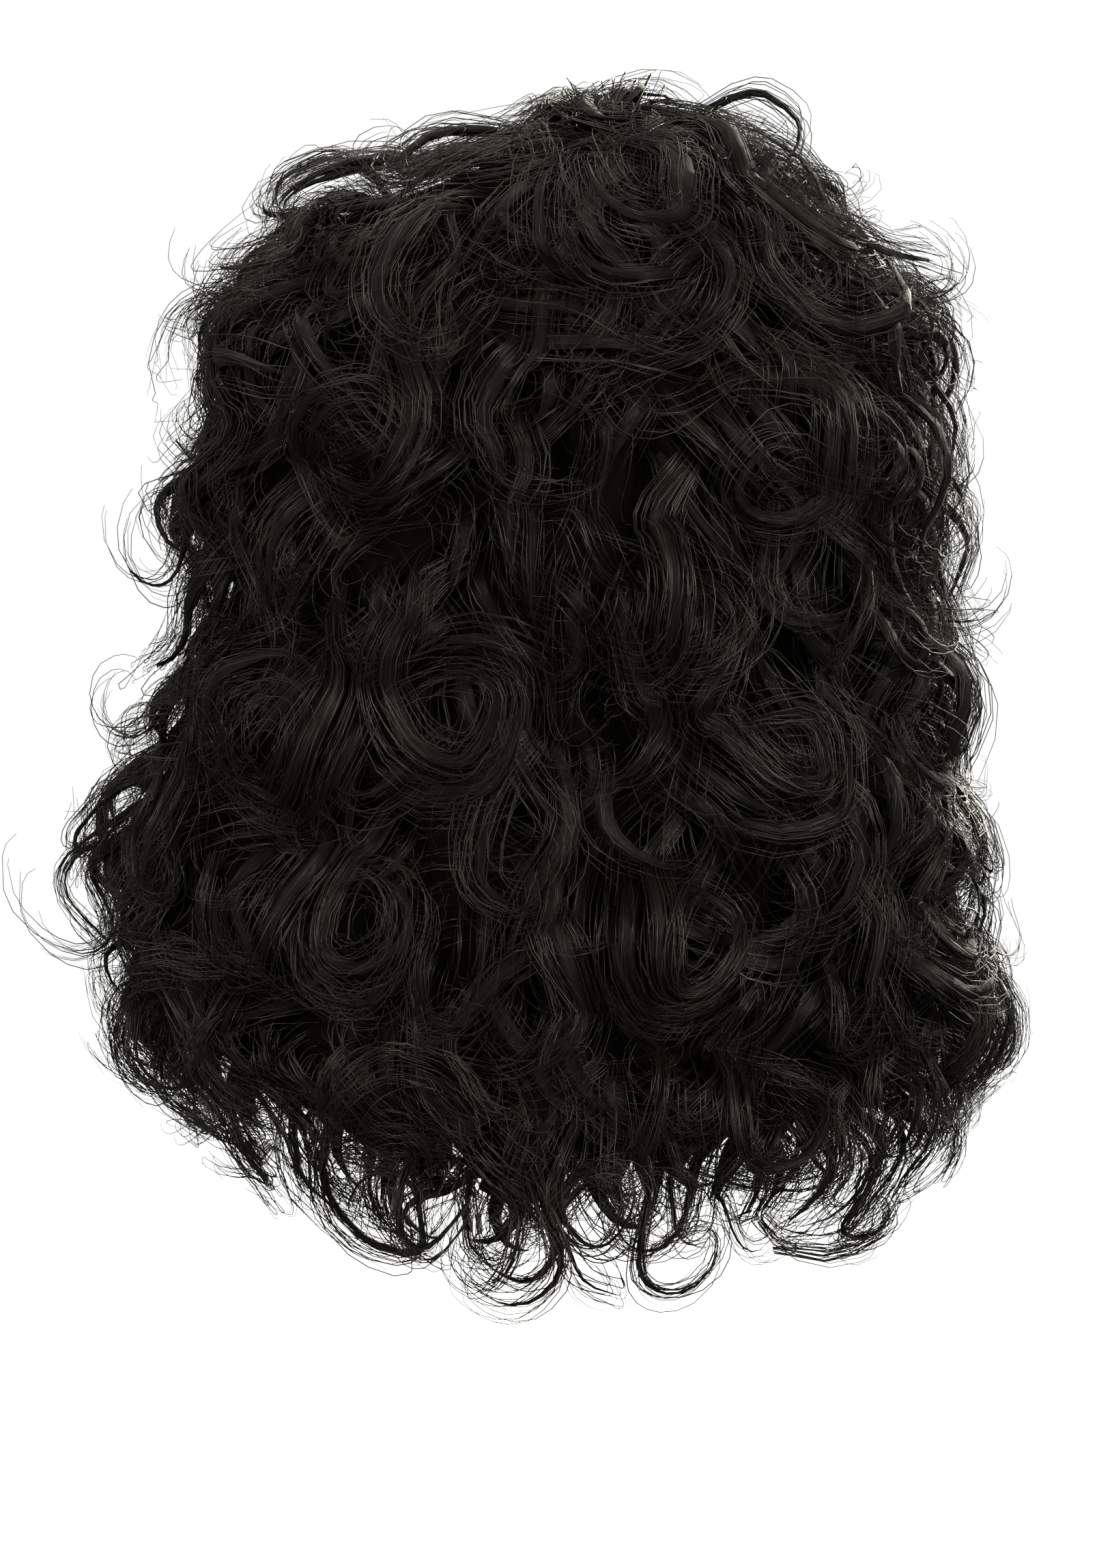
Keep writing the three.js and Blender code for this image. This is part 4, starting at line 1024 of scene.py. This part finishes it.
# Stretch cap: fine net with rows of machine weft sewn round it, 8 mm apart
waveBands = math.pi / 10  # a wave texture's scale for bands one metre apart
capNet = {
    "colour": "#161517", "thread": "#232225", "roughness": 0.85, "specular": 0.2,
    "weft": 8, "mesh": 1.4, "relief": 0.6, "strength": 0.7, "unevenness": 0.4,  # mm, then shares
}
capFinish, tree, surface = newMaterial("stretch_weft_net")
where = addNode(tree, "ShaderNodeTexCoord").outputs["Object"]
wefts = addNode(tree, "ShaderNodeTexWave", {
    "Vector": where, "Scale": waveBands / (capNet["weft"] * mm), "Distortion": capNet["unevenness"],
}, bands_direction="Z").outputs["Fac"]
holes = addNode(tree, "ShaderNodeTexVoronoi", {"Vector": where, "Scale": 1 / (capNet["mesh"] * mm)})
colours = addNode(
    tree, "ShaderNodeMix", {"Factor": wefts, "A": linear(capNet["colour"]), "B": linear(capNet["thread"])},
    data_type="RGBA")
relief = addNode(tree, "ShaderNodeMath", {0: wefts, 1: holes.outputs["Distance"]}, operation="ADD")
bump = addNode(tree, "ShaderNodeBump", {
    "Height": relief, "Strength": capNet["strength"], "Distance": capNet["relief"] * mm})
feed(tree, surface, {
    "Base Color": colours.outputs["Result"], "Normal": bump, "Roughness": capNet["roughness"],
    "Specular IOR Level": capNet["specular"]})

# Woven elastic: ribs along the band, 1.5 mm apart
elastic = {
    "colour": "#1a191b", "rib": "#2a292c", "roughness": 0.75,
    "pitch": 1.5, "relief": 0.4, "strength": 0.8,  # mm, then a share
}
bandFinish, tree, surface = newMaterial("woven_elastic")
where = addNode(tree, "ShaderNodeTexCoord").outputs["Object"]
ribs = addNode(tree, "ShaderNodeTexWave", {
    "Vector": where, "Scale": waveBands / (elastic["pitch"] * mm),
}, bands_direction="Z").outputs["Fac"]
colours = addNode(
    tree, "ShaderNodeMix", {"Factor": ribs, "A": linear(elastic["colour"]), "B": linear(elastic["rib"])},
    data_type="RGBA")
bump = addNode(tree, "ShaderNodeBump", {
    "Height": ribs, "Strength": elastic["strength"], "Distance": elastic["relief"] * mm})
feed(tree, surface, {
    "Base Color": colours.outputs["Result"], "Normal": bump, "Roughness": elastic["roughness"]})

# The cap and the band inside its edge, as the solids are but with finer facets
headRows = [  # z, side, front, back: the inside of the cap
    (0, 0, 0, 0),
    (-4, 26, 32, 34),
    (-16, 50, 62, 65),
    (-36, 66, 82, 85),
    (-62, 75, 93, 96),
    (-95, 79, 98, 101),
    (-130, 77, 96, 99),
    (-162, 70, 88, 90),
]
capEdge = [(0, -160), (50, -146), (80, -104), (100, -100), (120, -112), (150, -66), (180, -58)]  # azimuth, z
shell = {
    "wall": 1.5, "gap": 0.6, "bandWall": 1.2, "bandWidth": 15,  # mm
    "columns": 120, "bandRows": 4, "sharp": 50,  # facets round and down, and degrees at a sharp edge
}


def edgeZ(azimuth):  # the mean over a few degrees, so that the edge has no corners
    heights = [tableAt(capEdge, azimuth + near) for near in range(-12, 13, 3)]
    return sum(heights) / len(heights)


def headPoint(azimuth, z, out):
    for (top, *upper), (bottom, *lower) in zip(headRows, headRows[1:]):
        if z >= bottom or bottom == headRows[-1][0]:
            break
    side, front, back = [a + (b - a) * (top - z) / (top - bottom) for a, b in zip(upper, lower)]
    grow = out if z < -0.01 else 0
    s, c = math.sin(math.radians(azimuth)), math.cos(math.radians(azimuth))
    rise = out if z > -10 else out / 2
    return Vector((s * (side + grow), c * ((back if c > 0 else front) + grow), z + rise)) * mm


def capHeights(edge):
    return [max(z, edge) for z, *_ in headRows]


def bandHeights(edge):
    return [edge + shell["bandWidth"] * (1 - r / shell["bandRows"]) for r in range(shell["bandRows"] + 1)]


def shellPiece(name, outside, inside, heights, finish):
    columns = shell["columns"]
    vertices, faces = [], []
    for c in range(columns):
        azimuth = 360 * c / columns
        zs = heights(edgeZ(azimuth))
        vertices += [headPoint(azimuth, z, outside) for z in zs]
        vertices += [headPoint(azimuth, z, inside) for z in reversed(zs)]
    around = len(zs) * 2
    for c in range(columns):
        here, beside = c * around, (c + 1) % columns * around
        for r in range(around):
            faces.append((here + r, here + (r + 1) % around, beside + (r + 1) % around, beside + r))
    mesh = bpy.data.meshes.new(name)
    mesh.from_pydata(vertices, [], faces)
    made = bmesh.new()
    made.from_mesh(mesh)
    bmesh.ops.remove_doubles(made, verts=made.verts, dist=0.01 * mm)
    bmesh.ops.dissolve_degenerate(made, dist=0.01 * mm, edges=made.edges)
    made.to_mesh(mesh)
    made.free()
    mesh.materials.append(finish)
    mesh.shade_smooth()
    mesh.set_sharp_from_angle(angle=math.radians(shell["sharp"]))
    return addPiece(name, mesh)


bandOutside = -shell["gap"]
bandInside = bandOutside - shell["bandWall"]
cap = shellPiece("stretch_cap", shell["wall"], 0, capHeights, capFinish)
band = shellPiece("elastic_band", bandOutside, bandInside, bandHeights, bandFinish)
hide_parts("cap")
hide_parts("edge_band")
print("cap and band made")


# Studio: white floor and surround, a soft key light at the upper right of the view, a weaker fill at its
# left, and lights above and in front for the other sides
studio = {"floor": -0.62, "floorHalf": 12, "paper": "#fafafa", "surround": 0.18, "aim": (0, 0, -0.15)}
lamps = [  # name, place, size in metres, watts, colour
    ("key", (-1.3, 1.9, 0.9), 1.1, 60, "#fffbea"),
    ("fill", (1.6, 1.7, 0.1), 1.2, 36, "#fff2e0"),
    ("top", (0.2, -0.3, 1.6), 1.2, 16, "#fffbea"),
    ("front", (-0.9, -1.9, 0.5), 1.2, 70, "#fffbea"),
]
half = studio["floorHalf"]
floorMesh = bpy.data.meshes.new("floor")
corners = [(x, y, studio["floor"]) for x, y in ((-half, -half), (half, -half), (half, half), (-half, half))]
floorMesh.from_pydata(corners, [], [(0, 1, 2, 3)])
floor = addObject("floor", floorMesh)
floorPaper, tree, surface = newMaterial("white_paper")
feed(tree, surface, {
    "Base Color": linear(studio["paper"]), "Roughness": 0.9, "Emission Color": (1, 1, 1, 1),
    "Emission Strength": 1.0})
floor.visible_diffuse = floor.visible_glossy = False  # its glow whitens the ground alone
floorMesh.materials.append(floorPaper)

world = bpy.data.worlds.new("surround")
world.use_nodes = True
bpy.context.scene.world = world
tree = world.node_tree
seen = addNode(tree, "ShaderNodeLightPath").outputs["Is Camera Ray"]
lit = addNode(tree, "ShaderNodeBackground", {"Color": (1, 1, 1, 1), "Strength": studio["surround"]})
white = addNode(tree, "ShaderNodeBackground", {"Color": (1, 1, 1, 1), "Strength": 1.0})
both = addNode(tree, "ShaderNodeMixShader", {0: seen, 1: lit, 2: white})
feed(tree, tree.nodes["World Output"], {"Surface": both})

for name, place, size, watts, colour in lamps:
    lamp = bpy.data.lights.new(name, "AREA")
    lamp.color = linear(colour)[:3]
    lamp.size = size
    lamp.energy = watts
    lampObject = addObject(name, lamp)
    lampObject.location = place
    lampObject.rotation_euler = (Vector(studio["aim"]) - Vector(place)).to_track_quat("-Z", "Y").to_euler()
bpy.context.scene.view_settings.view_transform = "Standard"
print("studio lit")
